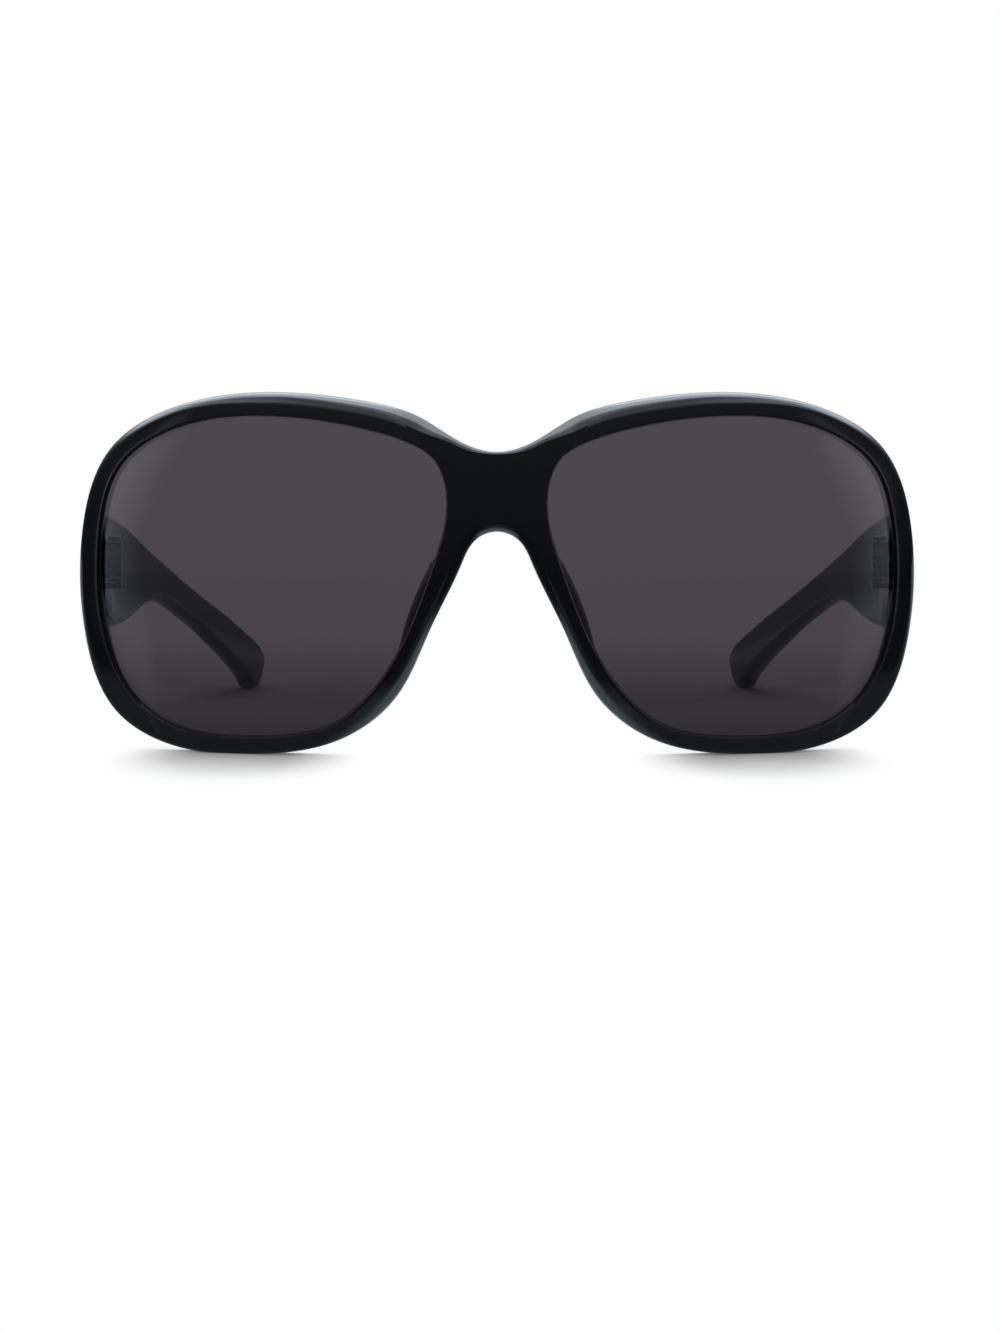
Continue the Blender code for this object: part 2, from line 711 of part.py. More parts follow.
def build_hinge(front, temple, metal, dark_metal):
    """The left hinge: two leaves, the hinge screw and four leaf screws, about the axis."""
    half = leaf_height / 2
    axis = Matrix.Translation((hinge_axis_x, land_place() + axis_behind_land, hinge_height))
    plate_back = -axis_behind_land
    to_front = Matrix.Rotation(radians(-90.0), 4, "X")
    to_side = Matrix.Rotation(radians(-90.0), 4, "Y")

    front_places = []
    temple_places = []
    for side in (-1, 1):
        spread = side * leaf_screw_spread
        front_places.append(Matrix.Translation((front_screw_offset, plate_back, spread)) @ to_front)
        temple_places.append(Matrix.Translation((axis_behind_land, temple_screw_offset, spread)) @ to_side)

    holes = []
    for k, place in enumerate(front_places):
        holes.append(countersink(f"front_sink_{k}", place, metal))
        holes.append(screw_hole(f"front_leaf_hole_{k}", place, leaf_thickness + overrun, metal))
    low = (-knuckle_radius, plate_back - leaf_thickness, -half)
    high = (front_leaf_reach, plate_back, half)
    every_other = range(0, knuckle_count, 2)
    front_leaf = leaf("front_hinge_leaf_left", low, high, 0.0, every_other, holes, metal)

    holes = []
    for k, place in enumerate(temple_places):
        holes.append(countersink(f"temple_sink_{k}", place, metal))
        holes.append(screw_hole(f"temple_leaf_hole_{k}", place, leaf_thickness + overrun, metal))
    low = (axis_behind_land, -knuckle_radius, -half)
    high = (axis_behind_land + leaf_thickness, temple_leaf_length - knuckle_radius, half)
    between = range(1, knuckle_count, 2)
    temple_leaf = leaf("temple_hinge_leaf_left", low, high, radians(90.0), between, holes, metal)

    length = hinge_head_height + seat_gap + leaf_height
    hinge_screw = screw_solid("hinge_screw_left", hinge_head_radius, hinge_screw_radius,
                              hinge_head_height, length, False, dark_metal)
    hinge_screw.data.transform(Matrix.Translation((0.0, 0.0, half + seat_gap + hinge_head_height)))

    screws = []
    for group, places in (("front_leaf_screw", front_places), ("temple_leaf_screw", temple_places)):
        for level, place in zip(("lower", "upper"), places):
            name = f"{group}_{level}_left"
            made = screw_solid(name, leaf_head_radius, leaf_screw_radius, leaf_thickness / 2,
                               leaf_screw_length, True, dark_metal)
            made.data.transform(place)
            screws.append(made)

    gap = seat_gap
    seat = box("front_leaf_seat", (-2 * knuckle_radius, plate_back - leaf_thickness - gap, -half - gap),
               (front_leaf_reach + gap, plate_back + overrun, half + gap), metal)
    front_cuts = [seat]
    for k, place in enumerate(front_places):
        front_cuts.append(screw_hole(f"front_hole_{k}", place, leaf_screw_length + gap, metal))
    low = (axis_behind_land - overrun, -2 * knuckle_radius, -half - gap)
    high = (axis_behind_land + leaf_thickness + gap, temple_leaf_length - knuckle_radius + gap, half + gap)
    seat = box("temple_leaf_seat", low, high, metal)
    temple_cuts = [seat]
    for k, place in enumerate(temple_places):
        temple_cuts.append(screw_hole(f"temple_hole_{k}", place, leaf_screw_length + gap, metal))

    for item in [front_leaf, temple_leaf, hinge_screw, *screws, *front_cuts, *temple_cuts]:
        item.data.transform(axis)
    for tool in temple_cuts:
        boolean(temple, tool, "DIFFERENCE")
    for tool in front_cuts:
        twin = mirror_copy(tool, tool.name + "_right")
        boolean(front, tool, "DIFFERENCE")
        boolean(front, twin, "DIFFERENCE")
    on_front = [front_leaf, hinge_screw, screws[0], screws[1]]
    on_temple = [temple_leaf, screws[2], screws[3]]
    return on_front, on_temple


def cut_front(front, finish):
    """Mill the lands that the temples butt against, and the flats that the rims stand on."""
    top = temple_top + 2 * seat_gap
    bottom = temple_top * min(row[2] for row in temple_shares[:3]) - 2 * seat_gap
    rear = land_place() + front_thickness * 2
    land = box("land_left", (hinge_axis_x - knuckle_radius, land_place(), bottom),
               (front_width / 2 + overrun, rear, top), finish)
    twin = mirror_copy(land, "land_right")
    boolean(front, land, "DIFFERENCE")
    boolean(front, twin, "DIFFERENCE")
    floor = box("rim_flat", (-front_width, -front_thickness, -front_height),
                (front_width, wrap_radius, rest_cut), finish)
    boolean(front, floor, "DIFFERENCE")


def build_temple_and_wire(acetate, metal):
    """Left temple with its wire channel and the flat under its tip, and the core wire."""
    temple = build_temple(acetate)
    butt = land_place() + butt_gap
    wire_end = butt + temple_length * wire_length_share
    channel = tube("wire_channel", wire_path(butt - overrun, wire_end + seat_gap), wire_channel_radius, metal)
    boolean(temple, channel, "DIFFERENCE")
    floor = box("tip_flat", (0.0, temple_length / 2, -front_height),
                (front_width, 2 * temple_length, rest_cut), metal)
    boolean(temple, floor, "DIFFERENCE")
    wire = tube("temple_core_wire_left", wire_path(butt, wire_end), wire_radius, metal)
    return temple, wire


def hang(items, holder):
    """Parent finished pieces to an empty, measured from its place."""
    for item in items:
        item.data.transform(Matrix.Translation(-holder.location))
        item.parent = holder


def empty(name, place, holder=None):
    made = bpy.data.objects.new(name, None)
    made.location = place
    made.parent = holder
    parts.objects.link(made)
    return made


def stand_on_origin(root, items):
    """Bring the bottom centre of the whole object's box to the origin."""
    bpy.context.view_layer.update()
    corners = [item.matrix_world @ Vector(corner) for item in items for corner in item.bound_box]
    low = Vector([min(c[k] for c in corners) for k in range(3)])
    high = Vector([max(c[k] for c in corners) for k in range(3)])
    root.location -= Vector(((low.x + high.x) / 2, (low.y + high.y) / 2, low.z))


def main():
    acetate = material("black acetate", (0.0065, 0.0065, 0.0075), 0.12)
    tint = material("grey-brown lens", (0.30, 0.26, 0.28), 0.02, 0.0, 0.9)
    metal = material("nickel silver", (0.55, 0.53, 0.50), 0.30, 1.0)
    screw_metal = material("steel screw", (0.40, 0.40, 0.42), 0.35, 1.0)

    front = build_front(acetate)
    lens = build_lens(tint)
    pad = build_nose_pad(acetate)
    temple, wire = build_temple_and_wire(acetate, metal)
    cut_front(front, acetate)
    on_front, on_temple = build_hinge(front, temple, metal, screw_metal)
    apply_all(temple)
    apply_all(front)

    fixed = [lens, pad, *on_front]
    moving = [temple, wire, *on_temple]
    fixed_right = [mirror_copy(item, item.name.replace("_left", "_right")) for item in fixed]
    moving_right = [mirror_copy(item, item.name.replace("_left", "_right")) for item in moving]

    root = empty("sunglasses_frame", (0.0, 0.0, 0.0))
    pivot = Vector((hinge_axis_x, land_place() + axis_behind_land, hinge_height))
    left_pivot = empty("temple_pivot_left", pivot, root)
    right_pivot = empty("temple_pivot_right", (-pivot.x, pivot.y, pivot.z), root)
    hang([front, *fixed, *fixed_right], root)
    hang(moving, left_pivot)
    hang(moving_right, right_pivot)
    stand_on_origin(root, [front, *fixed, *fixed_right, *moving, *moving_right])


clear_scene()
parts = new_collection("square_sunglasses")
cutters = new_collection("cutters")
main()
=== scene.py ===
"""Square black acetate sunglasses: finely cut pieces, their materials and a pale studio.

X runs from the wearer's right to the wearer's left, the front faces -Y and the temples run to +Y.
The wearer's left half is modelled, and the right half is its mirror image.
"""

import json
from functools import reduce
from math import cos, pi, radians, sin, sqrt, tan

import bmesh
import bpy
import numpy as np
from bpy.props import FloatProperty, FloatVectorProperty, PointerProperty
from bpy.types import Operator, Panel, PropertyGroup
from mathutils import Matrix, Vector


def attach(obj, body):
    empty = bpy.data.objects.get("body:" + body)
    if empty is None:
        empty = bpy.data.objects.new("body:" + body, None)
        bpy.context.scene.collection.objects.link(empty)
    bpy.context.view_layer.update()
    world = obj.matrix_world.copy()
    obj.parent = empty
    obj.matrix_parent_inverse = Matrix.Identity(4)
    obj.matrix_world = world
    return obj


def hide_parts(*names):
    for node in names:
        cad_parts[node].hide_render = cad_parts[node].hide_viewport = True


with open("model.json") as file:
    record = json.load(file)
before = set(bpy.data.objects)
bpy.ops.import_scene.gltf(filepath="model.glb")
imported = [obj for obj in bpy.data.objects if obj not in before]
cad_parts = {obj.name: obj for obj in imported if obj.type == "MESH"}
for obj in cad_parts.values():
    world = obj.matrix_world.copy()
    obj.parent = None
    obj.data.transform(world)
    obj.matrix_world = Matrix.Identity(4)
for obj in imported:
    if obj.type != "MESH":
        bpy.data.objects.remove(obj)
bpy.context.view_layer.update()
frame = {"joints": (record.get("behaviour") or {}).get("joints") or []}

bl_info = {
    "name": "Square Sunglasses",
    "version": (1, 0, 0),
    "blender": (4, 5, 0),
    "location": "3D View > Sidebar > Sunglasses",
    "description": "Builds black acetate sunglasses with tinted lenses and five-knuckle hinges",
    "category": "Add Mesh",
}

# Sheet, lens slot and rim section
wrap_flat = 0.006
front_lean = radians(2.0)
rim_foot = 0.00345
lens_edge_cut = 0.0003
seat_gap = 0.0003
lip_width = 0.0010
lip_depth = 0.0012
rear_lip = 0.0008
slot_depth = 0.00095
edge_cut = 0.0028
facet_depth_share = 0.85
facet_flat_share = 0.88
back_round = 0.0009
endpiece_extra = 0.0020
lip_round = 0.00001
slot_round = 0.00006

# Nose pads
pad_height = 0.0066
pad_end_height = 0.0007
pad_lean_share = 0.42
pad_arch_power = 0.8

# Hinges
hinge_inset = 0.00195
hinge_rise = 0.0010
land_depth = 0.00035
knuckle_radius = 0.00135
knuckle_gap = 0.00025
knuckle_count = 5
leaf_height = 0.0078
leaf_thickness = 0.0009
endpiece_rim_share = 0.9075
endpiece_wall = 0.00038
temple_leaf_length = 0.0104
leaf_slot = 0.0004
slot_reach = 0.0019
axis_behind_land = knuckle_radius + knuckle_gap
metal_edge = 0.00005

# Screws
hinge_screw_radius = 0.0005
hinge_head_radius = 0.00115
hinge_head_height = 0.0007
leaf_screw_radius = 0.00035
leaf_head_radius = 0.0007
leaf_screw_length = 0.0021
screw_gap = 0.00025
screw_slot = 0.00030
sink_depth_share = 0.6
mouth_lift = 0.00003
leaf_screw_spread_share = 0.295
temple_screw_share = 0.635
bore_radius = hinge_screw_radius + seat_gap
leaf_screw_hole = leaf_screw_radius + screw_gap
sink_mouth = leaf_head_radius + screw_gap
leaf_screw_spread = leaf_screw_spread_share * leaf_height
temple_screw_offset = temple_screw_share * temple_leaf_length

# Temples and their core wires
temple_rise = 0.0088
temple_straight = 0.0115
temple_inset = 0.0198
temple_bend_power = 1.3
temple_edge_round = 0.0015
temple_end_round = 0.00045
corner_share = 0.45
butt_gap = 0.0003
wire_radius = 0.0005
wire_wall = 0.00035
wire_length_share = 0.92
wire_settle = 0.0293
wire_channel_radius = wire_radius + seat_gap
wire_depth = leaf_thickness + seat_gap + wire_wall + wire_channel_radius

# Flats that the sunglasses stand on, and how far a cutter runs past its work
rest_cut = 0.00015
overrun = 0.0010
weld_distance = 0.000002

# How finely the pieces are cut, and the angles up to which they shade smooth or keep their edges
steps_per_row = 14
round_steps = 9
back_steps = 5
face_steps = 5
back_face_steps = 4
slot_steps = 2
lip_steps = 4
lens_rings = 13
arc_points = 25
temple_steps = 6
temple_end_points = 6
temple_corner_points = 9
wire_points = 60
bar_resolution = 4
drill_sides = 32
screw_steps = 36
smooth_angle = radians(30.0)
bevel_angle = radians(40.0)

# Each row is one station of the rim, from the bridge over the brow and round to the nose arch:
# lens edge x and z, outer edge x and z, edge cut, facet, lip width, endpiece.
# The outer edge is given in rim widths from the lens edge, but on the bridge rows its x is given
# in half the lens spacing from the middle.
rim_shares = [
    (-0.965, 0.657, 0.000, 0.795, 0.12, 1.0, 0.30, 0.0),
    (-0.922, 0.734, 0.731, 0.714, 0.30, 1.0, 0.30, 0.0),
    (-0.813, 0.815, -0.236, 1.190, 0.76, 1.0, 0.30, 0.0),
    (-0.541, 0.912, 0.022, 1.190, 0.69, 0.45, 0.30, 0.0),
    (0.024, 0.994, -0.130, 1.010, 0.68, 0.0, 0.30, 0.0),
    (0.526, 0.924, 0.324, 0.837, 0.42, 0.0, 0.35, 0.0),
    (0.879, 0.673, 0.519, 0.729, 0.42, 0.0, 0.55, 0.3),
    (0.995, 0.226, 0.887, 0.195, 0.34, 0.0, 0.60, 1.0),
    (0.960, -0.376, 1.065, 0.089, 0.34, 0.0, 0.80, 1.0),
    (0.795, -0.778, 0.922, -0.670, 0.36, 0.0, 0.60, 0.1),
    (0.545, -0.962, -0.065, -0.918, 0.36, 0.0, 0.40, 0.0),
    (0.114, -1.012, -0.169, -0.767, 0.36, 0.0, 0.30, 0.0),
    (-0.352, -0.918, -0.140, -0.768, 0.45, 0.0, 0.30, 0.0),
    (-0.624, -0.640, -0.709, -0.697, 0.54, 0.0, 0.30, 0.0),
    (-0.796, -0.302, -0.844, -0.141, 0.50, 0.0, 0.30, 0.0),
    (-0.924, 0.075, -1.195, 0.020, 0.50, 0.0, 0.30, 0.0),
    (-0.965, 0.213, 0.412, 0.136, 0.50, 0.0, 0.30, 0.0),
    (-0.993, 0.353, 0.000, -0.470, 0.50, 0.0, 0.30, 0.0),
]
bridge_rows = (0, 1, 16, 17)
bridge_lens_share = (-0.998, 0.497)
pad_row_range = (13.25, 15.75)
pad_across_shares = (0.14, 0.84)

# Temple side view: place along the temple, upper edge, lower edge and thickness
temple_shares = [
    (0.00, 1.000, 0.535, 1.00),
    (0.11, 0.976, 0.492, 1.00),
    (0.20, 0.933, 0.487, 0.96),
    (0.27, 0.880, 0.508, 0.92),
    (0.35, 0.807, 0.545, 0.88),
    (0.42, 0.746, 0.545, 0.86),
    (0.50, 0.674, 0.500, 0.84),
    (0.57, 0.611, 0.441, 0.84),
    (0.66, 0.532, 0.359, 0.84),
    (0.75, 0.452, 0.262, 0.85),
    (0.82, 0.389, 0.183, 0.87),
    (0.88, 0.328, 0.107, 0.88),
    (0.925, 0.282, 0.036, 0.88),
    (0.950, 0.256, -0.006, 0.86),
    (0.972, 0.226, 0.006, 0.80),
    (0.989, 0.193, 0.060, 0.72),
    (1.00, 0.160, 0.120, 0.60),
]
butt_rows = 3
temple_end_slopes = ((1.0, 0.0, -0.06, 0.0), (0.30, -0.50, 0.70, -0.50))


def linear(hex_colour):
    """Linear red, green and blue of an sRGB hex colour."""
    shares = [int(hex_colour[i:i + 2], 16) / 255 for i in (1, 3, 5)]
    return tuple(v / 12.92 if v <= 0.04045 else ((v + 0.055) / 1.055) ** 2.4 for v in shares)


# Most of a noise pattern lies between these levels
noise_range = (0.3, 0.7)

# Contact shadows on the table: middle x and y, and how far each reaches
contact_shades = ((0.0440, -0.0700, 0.0225, 0.0430), (0.0480, 0.0560, 0.0300, 0.0500))
contact_fade = (0.3, 1.0, 0.93, 0.0)

# A fade is a start, an end, the level before the start and the level past the end.
# Each row below is a patch of light, the product of its fades, each after the name of what it follows.
# The table's mirrored light is a painted reflection: glowing patches by place, dark in front of the glasses
# and bright behind them, under the nose gap and off to the sides. It follows the place on it in metres, and
# the bearing in radians about a corner.
table_tint = linear("#fffcf8")
painted_reflection_tint = linear("#e7f8ff")
mirror_corner = 0.060
# Painted shade: seen through the lenses the table is darker near the glasses, its own look rising from a
# share of 0.25 at y -0.10 m to full at 0.24 m
painted_lens_view_shade = (-0.10, 0.24, 0.25, 1.0)
painted_table_reflection = (
    (("bearing", 0.84, 0.94, 0.0, 0.36), ("bearing", 0.99, 1.06, 1.0, 0.1), ("aside", 0.2, 0.7, 1.0, 0.15)),
    (("back", -0.12, -0.085, 0.17, 1.0), ("aside", 0.015, 0.035, 1.4, 0.0)),
    (("back", -0.05, 0.02, 0.05, 0.95),),
    (("back", -0.095, -0.08, 0.0, 0.22),),
)

# The mirrored surroundings follow a direction's height and side, and its turn from the front in radians
sheen_tint = linear("#e4f0ff")
fill_level = 0.33
crown_fade = ("height", 0.76, 0.92, 1.0, 0.15)
studio_patches = (
    (("height", 0.0, 0.4, 0.06, 0.2, "LINEAR"),),
    (("height", 0.40, 0.72, 0.0, 1.0),),
    (("height", 0.955, 0.995, 0.0, 1.4),),
    (("turn", 2.4, 2.8, 0.0, 1.0), ("height", 0.06, 0.14, 0.85, 1.0), crown_fade),
    (("turn", 1.7, 2.3, 0.0, 1.6), ("height", 0.15, 0.8, 0.0, 1.0), crown_fade),
    (("side", 0.25, 0.55, 0.0, 1.0), ("height", 0.45, 0.75, 0.0, 1.6)),
    (("side", 0.40, 0.65, 0.0, 4.0), ("turn", 1.15, 1.35, 0.0, 1.0), ("height", 0.5, 0.68, 0.0, 1.0)),
)

# Side cards: their light rises along a slant, and stops along a steeper line and at the outer end
card_size = (0.0425, 0.115)
card_place = (0.15856, -0.13669, 0.058)
card_turn = radians(43.2)
card_tint = linear("#e6f1ff")
card_slant = 1.035
card_slant_foot = 0.38
card_rise = (0.885, 1.449, 0.0, 1.0, "LINEAR")
card_rise_power = 1.3
card_steep = 2.353
card_shift = (0.38, 0.46, -0.07, 0.0)
card_stops = (("steep", 2.33, 2.40, 1.12, 0.0, "LINEAR"), ("beside", 0.90, 0.95, 1.0, 0.0, "LINEAR"),
              ("up", 0.0, 0.3, 0.0, 1.0))

# Softbox and camera; the camera's lens and sensor are in millimetres
softbox_size = (1.2, 0.75)
softbox_place = (0.0, 0.315, 1.0)
softbox_tilt = radians(-19.0)
softbox_power = 11.2
softbox_tint = linear("#f1f8ff")
table_size = 12.0
camera_place = (0.0, -0.66983, 0.065994)
camera_tilt = radians(4.8144)
camera_lens = 130.95
camera_sensor = 36.0
camera_shift = 0.003


def length(name, description, default):
    """A length in metres that the panel shows in scene units."""
    return FloatProperty(name=name, description=description, default=default, min=0.0, unit="LENGTH",
                         precision=5)


def colour(name, description, default):
    """A colour that the panel shows as a swatch."""
    return FloatVectorProperty(name=name, description=description, default=linear(default), subtype="COLOR",
                               size=3, min=0.0, max=1.0)


class SUNGLASSES_PG_sizes(PropertyGroup):
    lens_width: length("Lens width", "Width of one lens opening", 0.0587)
    lens_height: length("Lens height", "Height of one lens opening", 0.0535)
    lens_spacing: length("Bridge", "Gap between the two lens openings", 0.0169)
    lens_thickness: length("Lens thickness", "Thickness of a lens", 0.0018)
    rim_width: length("Rim width", "Usual width of the rim round a lens", 0.0040)
    wrap_radius: length("Wrap radius", "Radius that the front is bent to round the face", 0.140)
    upright_radius: length("Upright radius", "Radius of the front's upright curve", 0.140)
    temple_length: length("Temple length", "Length of a temple from its butt to its tip", 0.1171)
    temple_thickness: length("Temple thickness", "Thickness of a temple at its butt", 0.0039)

    @property
    def lens_middle(self):
        return rim_foot + self.lens_height / 2

    @property
    def lens_edge(self):
        return self.lens_spacing / 2 + self.lens_width

    @property
    def thickness(self):
        return lip_depth + 2 * seat_gap + self.lens_thickness + rear_lip

    @property
    def hinge_x(self):
        return self.lens_edge - hinge_inset

    @property
    def hinge_z(self):
        return self.lens_middle + hinge_rise

    @property
    def wide(self):
        """A reach well past the front's sides."""
        return 2 * (self.lens_edge + self.rim_width)

    @property
    def temple_top(self):
        return self.hinge_z + temple_rise

    @property
    def land(self):
        """Depth of the flat behind each endpiece, which the temple's butt closes against."""
        return self.surface(self.lens_edge, self.hinge_z) + self.thickness + endpiece_extra - land_depth

    @property
    def butt(self):
        """Depth at which the temple begins."""
        return self.land + butt_gap

    def surface(self, x, z):
        """Depth of the front surface: bent round the face, curved upright and leaning."""
        turn = max(0.0, abs(x) - wrap_flat)
        wrap = self.wrap_radius - sqrt(self.wrap_radius ** 2 - turn ** 2)
        return wrap + (z - self.lens_middle) ** 2 / (2 * self.upright_radius) + z * tan(front_lean)

    def behind(self, place, depth):
        """Point at a depth behind the front surface, from a place in x and z."""
        return (place[0], self.surface(place[0], place[1]) + depth, place[1])


class SUNGLASSES_PG_finishes(PropertyGroup):
    acetate: colour("Acetate", "Black cellulose acetate of the front, pads and temples", "#0b0b0c")
    lens: colour("Lens tint", "Colour of white light that has passed through a lens", "#4c464a")
    leaf: colour("Hinge metal", "Nickel silver of the hinge leaves and core wires", "#938f86")
    screw: colour("Screw metal", "Steel of the screws", "#a8a8ab")
    floor: colour("Floor", "Table top and backdrop", "#ffffff")


def add_node(tree, kind, settings=None, sockets=None):
    """Add a node with its settings; each socket takes a constant, or the output that feeds it."""
    made = tree.nodes.new("ShaderNode" + kind)
    for name, value in (settings or {}).items():
        setattr(made, name, value)
    for name, value in (sockets or {}).items():
        if isinstance(value, bpy.types.NodeSocket):
            tree.links.new(value, made.inputs[name])
        else:
            made.inputs[name].default_value = value
    return made


def new_material(name):
    """Empty node material and its tree, or the one that is already there."""
    made = bpy.data.materials.get(name) or bpy.data.materials.new(name)
    made.use_nodes = True
    made.node_tree.nodes.clear()
    return made, made.node_tree


def calculate(tree, operation, *values):
    """Result of a Math node."""
    return add_node(tree, "Math", {"operation": operation}, dict(enumerate(values))).outputs["Value"]


def fade(tree, value, start, end, low, high, interpolation="SMOOTHSTEP"):
    """Level that passes from low to high while the value passes from start to end."""
    return add_node(tree, "MapRange", {"interpolation_type": interpolation}, {
        "Value": value, "From Min": start, "From Max": end, "To Min": low, "To Max": high}).outputs["Result"]


def joined(tree, operation, values):
    """Result of a Math operation on the first two values, then on that and the next, to the last."""
    return reduce(lambda result, value: calculate(tree, operation, result, value), values)


def patchwork(tree, inputs, patches, operation):
    """Level that joins patches by an operation; a patch is the product of its fades."""
    levels = [joined(tree, "MULTIPLY", [fade(tree, inputs[name], *limits) for name, *limits in patch])
              for patch in patches]
    return joined(tree, operation, levels)


def noise(tree, size, detail, vector=None):
    """Height of an uneven pattern with patches of about the given size in metres."""
    if vector is None:
        vector = add_node(tree, "TexCoord").outputs["Object"]
    sockets = {"Vector": vector, "Scale": 1 / size, "Detail": detail}
    return add_node(tree, "TexNoise", None, sockets).outputs["Fac"]


def uneven(tree, pattern, low, high):
    """Level that wanders between low and high with a noise pattern."""
    return fade(tree, pattern, *noise_range, low, high, "LINEAR")


def bump(tree, height, strength, distance):
    """Normal of a surface that a height disturbs."""
    sockets = {"Height": height, "Strength": strength, "Distance": distance}
    return add_node(tree, "Bump", None, sockets).outputs["Normal"]


def principled(made, tint, sockets):
    """Give a material its Principled shader."""
    shader = add_node(made.node_tree, "BsdfPrincipled", None, {"Base Color": (*tint, 1.0), **sockets})
    add_node(made.node_tree, "OutputMaterial", None, {"Surface": shader.outputs["BSDF"]})
    return made


def polished_acetate(finishes):
    """Cellulose acetate, cut from sheet, tumbled and polished: deep black under a wet-looking gloss.

    Hand polishing leaves slow waves a few millimetres across and faint changes of gloss.
    """
    made, tree = new_material("polished black acetate")
    gloss = uneven(tree, noise(tree, 0.018, 2.0), 0.07, 0.12)
    waves = bump(tree, noise(tree, 0.006, 1.0), 0.04, 0.0002)
    return principled(made, finishes.acetate, {"Roughness": gloss, "IOR": 1.49, "Normal": waves})


def tinted_lens(finishes):
    """Dyed optical plastic, cast and polished: clear, grey-brown, with a faint reflection."""
    made, _ = new_material("grey-brown tinted lens")
    return principled(made, finishes.lens, {"Roughness": 0.0, "IOR": 1.5, "Transmission Weight": 1.0})


def nickel_silver(finishes):
    """Nickel silver, stamped and barrel-finished: warm grey metal with a satin grain 0.2 mm wide."""
    made, tree = new_material("barrelled nickel silver")
    place = add_node(tree, "TexCoord").outputs["Object"]
    stretch = add_node(tree, "Mapping", None, {"Vector": place, "Scale": (1.0, 1.0, 0.15)})
    grain = noise(tree, 0.0002, 2.0, stretch.outputs["Vector"])
    gloss = uneven(tree, grain, 0.24, 0.38)
    satin = bump(tree, grain, 0.12, 0.00003)
    return principled(made, finishes.leaf, {"Metallic": 1.0, "Roughness": gloss, "Normal": satin})


def turned_steel(finishes):
    """Stainless steel, turned on a lathe: cooler than the leaves, its gloss broken by fine tool marks."""
    made, tree = new_material("turned stainless steel")
    gloss = uneven(tree, noise(tree, 0.00015, 1.0), 0.26, 0.40)
    return principled(made, finishes.screw, {"Metallic": 1.0, "Roughness": gloss})


def settings(context, material):
    """Sizes from the panel, and a material in the panel's colours."""
    return context.scene.sunglasses_sizes, material(context.scene.sunglasses_finishes)


def placed(name, data):
    """New object in the scene for a mesh, curve, lamp or camera."""
    made = bpy.data.objects.new(name, data)
    bpy.context.scene.collection.objects.link(made)
    return made


def smoothed(mesh):
    """Shade a mesh smooth up to an angle."""
    mesh.shade_smooth()
    mesh.set_sharp_from_angle(angle=smooth_angle)
    return mesh


def solid(name, points, faces, finish):
    """Mesh object from points and faces."""
    mesh = bpy.data.meshes.new(name)
    mesh.from_pydata([tuple(float(c) for c in p) for p in points], [], faces)
    mesh.validate()
    mesh.materials.append(finish)
    return placed(name, smoothed(mesh))


def quads(rows):
    """Faces between neighbouring rows of point numbers, each row a closed ring; None leaves a gap."""
    faces = []
    for row, after in zip(rows, rows[1:]):
        around = zip(row, row[1:] + row[:1], after[1:] + after[:1], after)
        faces += [corners for corners in around if None not in corners]
    return faces


def loft(name, rings, finish):
    """Solid through a run of rings with as many points each, closed at both ends."""
    count = len(rings[0])
    rows = [list(range(k * count, (k + 1) * count))[::-1] for k in range(len(rings))]
    faces = [rows[0][::-1], *quads(rows), rows[-1]]
    return solid(name, [place for ring in rings for place in ring], faces, finish)


def evaluated_mesh(item, name):
    """New mesh of an object with its modifiers applied."""
    bpy.context.view_layer.update()
    graph = bpy.context.evaluated_depsgraph_get()
    mesh = bpy.data.meshes.new_from_object(item.evaluated_get(graph))
    mesh.name = name
    return mesh


def boolean(target, tool, operation="DIFFERENCE"):
    """Cut a tool from an object, or join it to the object."""
    step = target.modifiers.new(operation.lower(), "BOOLEAN")
    step.operation = operation
    step.solver = "EXACT"
    step.object = tool


def apply_all(item):
    """Turn an object and its modifiers into a plain mesh and drop the cutters that it used."""
    used = [step.object for step in item.modifiers if step.type == "BOOLEAN"]
    item.data = smoothed(evaluated_mesh(item, item.name))
    item.modifiers.clear()
    for tool in used:
        bpy.data.objects.remove(tool, do_unlink=True)
    return item


def mirror_copy(item, name):
    """The same piece on the wearer's other side."""
    mesh = evaluated_mesh(item, name)
    mesh.transform(Matrix.Diagonal((-1.0, 1.0, 1.0, 1.0)))
    mesh.flip_normals()
    return placed(name, mesh)


def from_bmesh(name, bm, finish=None):
    """Mesh object from a bmesh. A cutter has no finish, so its cuts take that of the piece."""
    mesh = bpy.data.meshes.new(name)
    bm.to_mesh(mesh)
    bm.free()
    if finish:
        mesh.materials.append(finish)
    return placed(name, mesh)


def box(name, low, high, finish=None):
    """Box between two corners."""
    low, high = Vector(low), Vector(high)
    bm = bmesh.new()
    bmesh.ops.create_cube(bm, size=1.0)
    bmesh.ops.scale(bm, vec=high - low, verts=bm.verts)
    bmesh.ops.translate(bm, vec=(low + high) / 2, verts=bm.verts)
    return from_bmesh(name, bm, finish)


def drill(name, low, high, lower, upper, place):
    """Round cutter about its Z axis from low to high, with a radius at each end, set in a place."""
    bm = bmesh.new()
    bmesh.ops.create_cone(bm, cap_ends=True, segments=drill_sides, radius1=lower, radius2=upper,
                          depth=high - low)
    bmesh.ops.translate(bm, vec=(0.0, 0.0, (low + high) / 2), verts=bm.verts)
    bmesh.ops.transform(bm, matrix=place, verts=bm.verts)
    return from_bmesh(name, bm)


def path_curve(name, path, dimensions):
    """Curve of straight steps along a path, and its spline."""
    curve = bpy.data.curves.new(name, "CURVE")
    curve.dimensions = dimensions
    spline = curve.splines.new("POLY")
    spline.points.add(len(path) - 1)
    for point, place in zip(spline.points, path):
        point.co = (*place, 1.0)
    return curve, spline


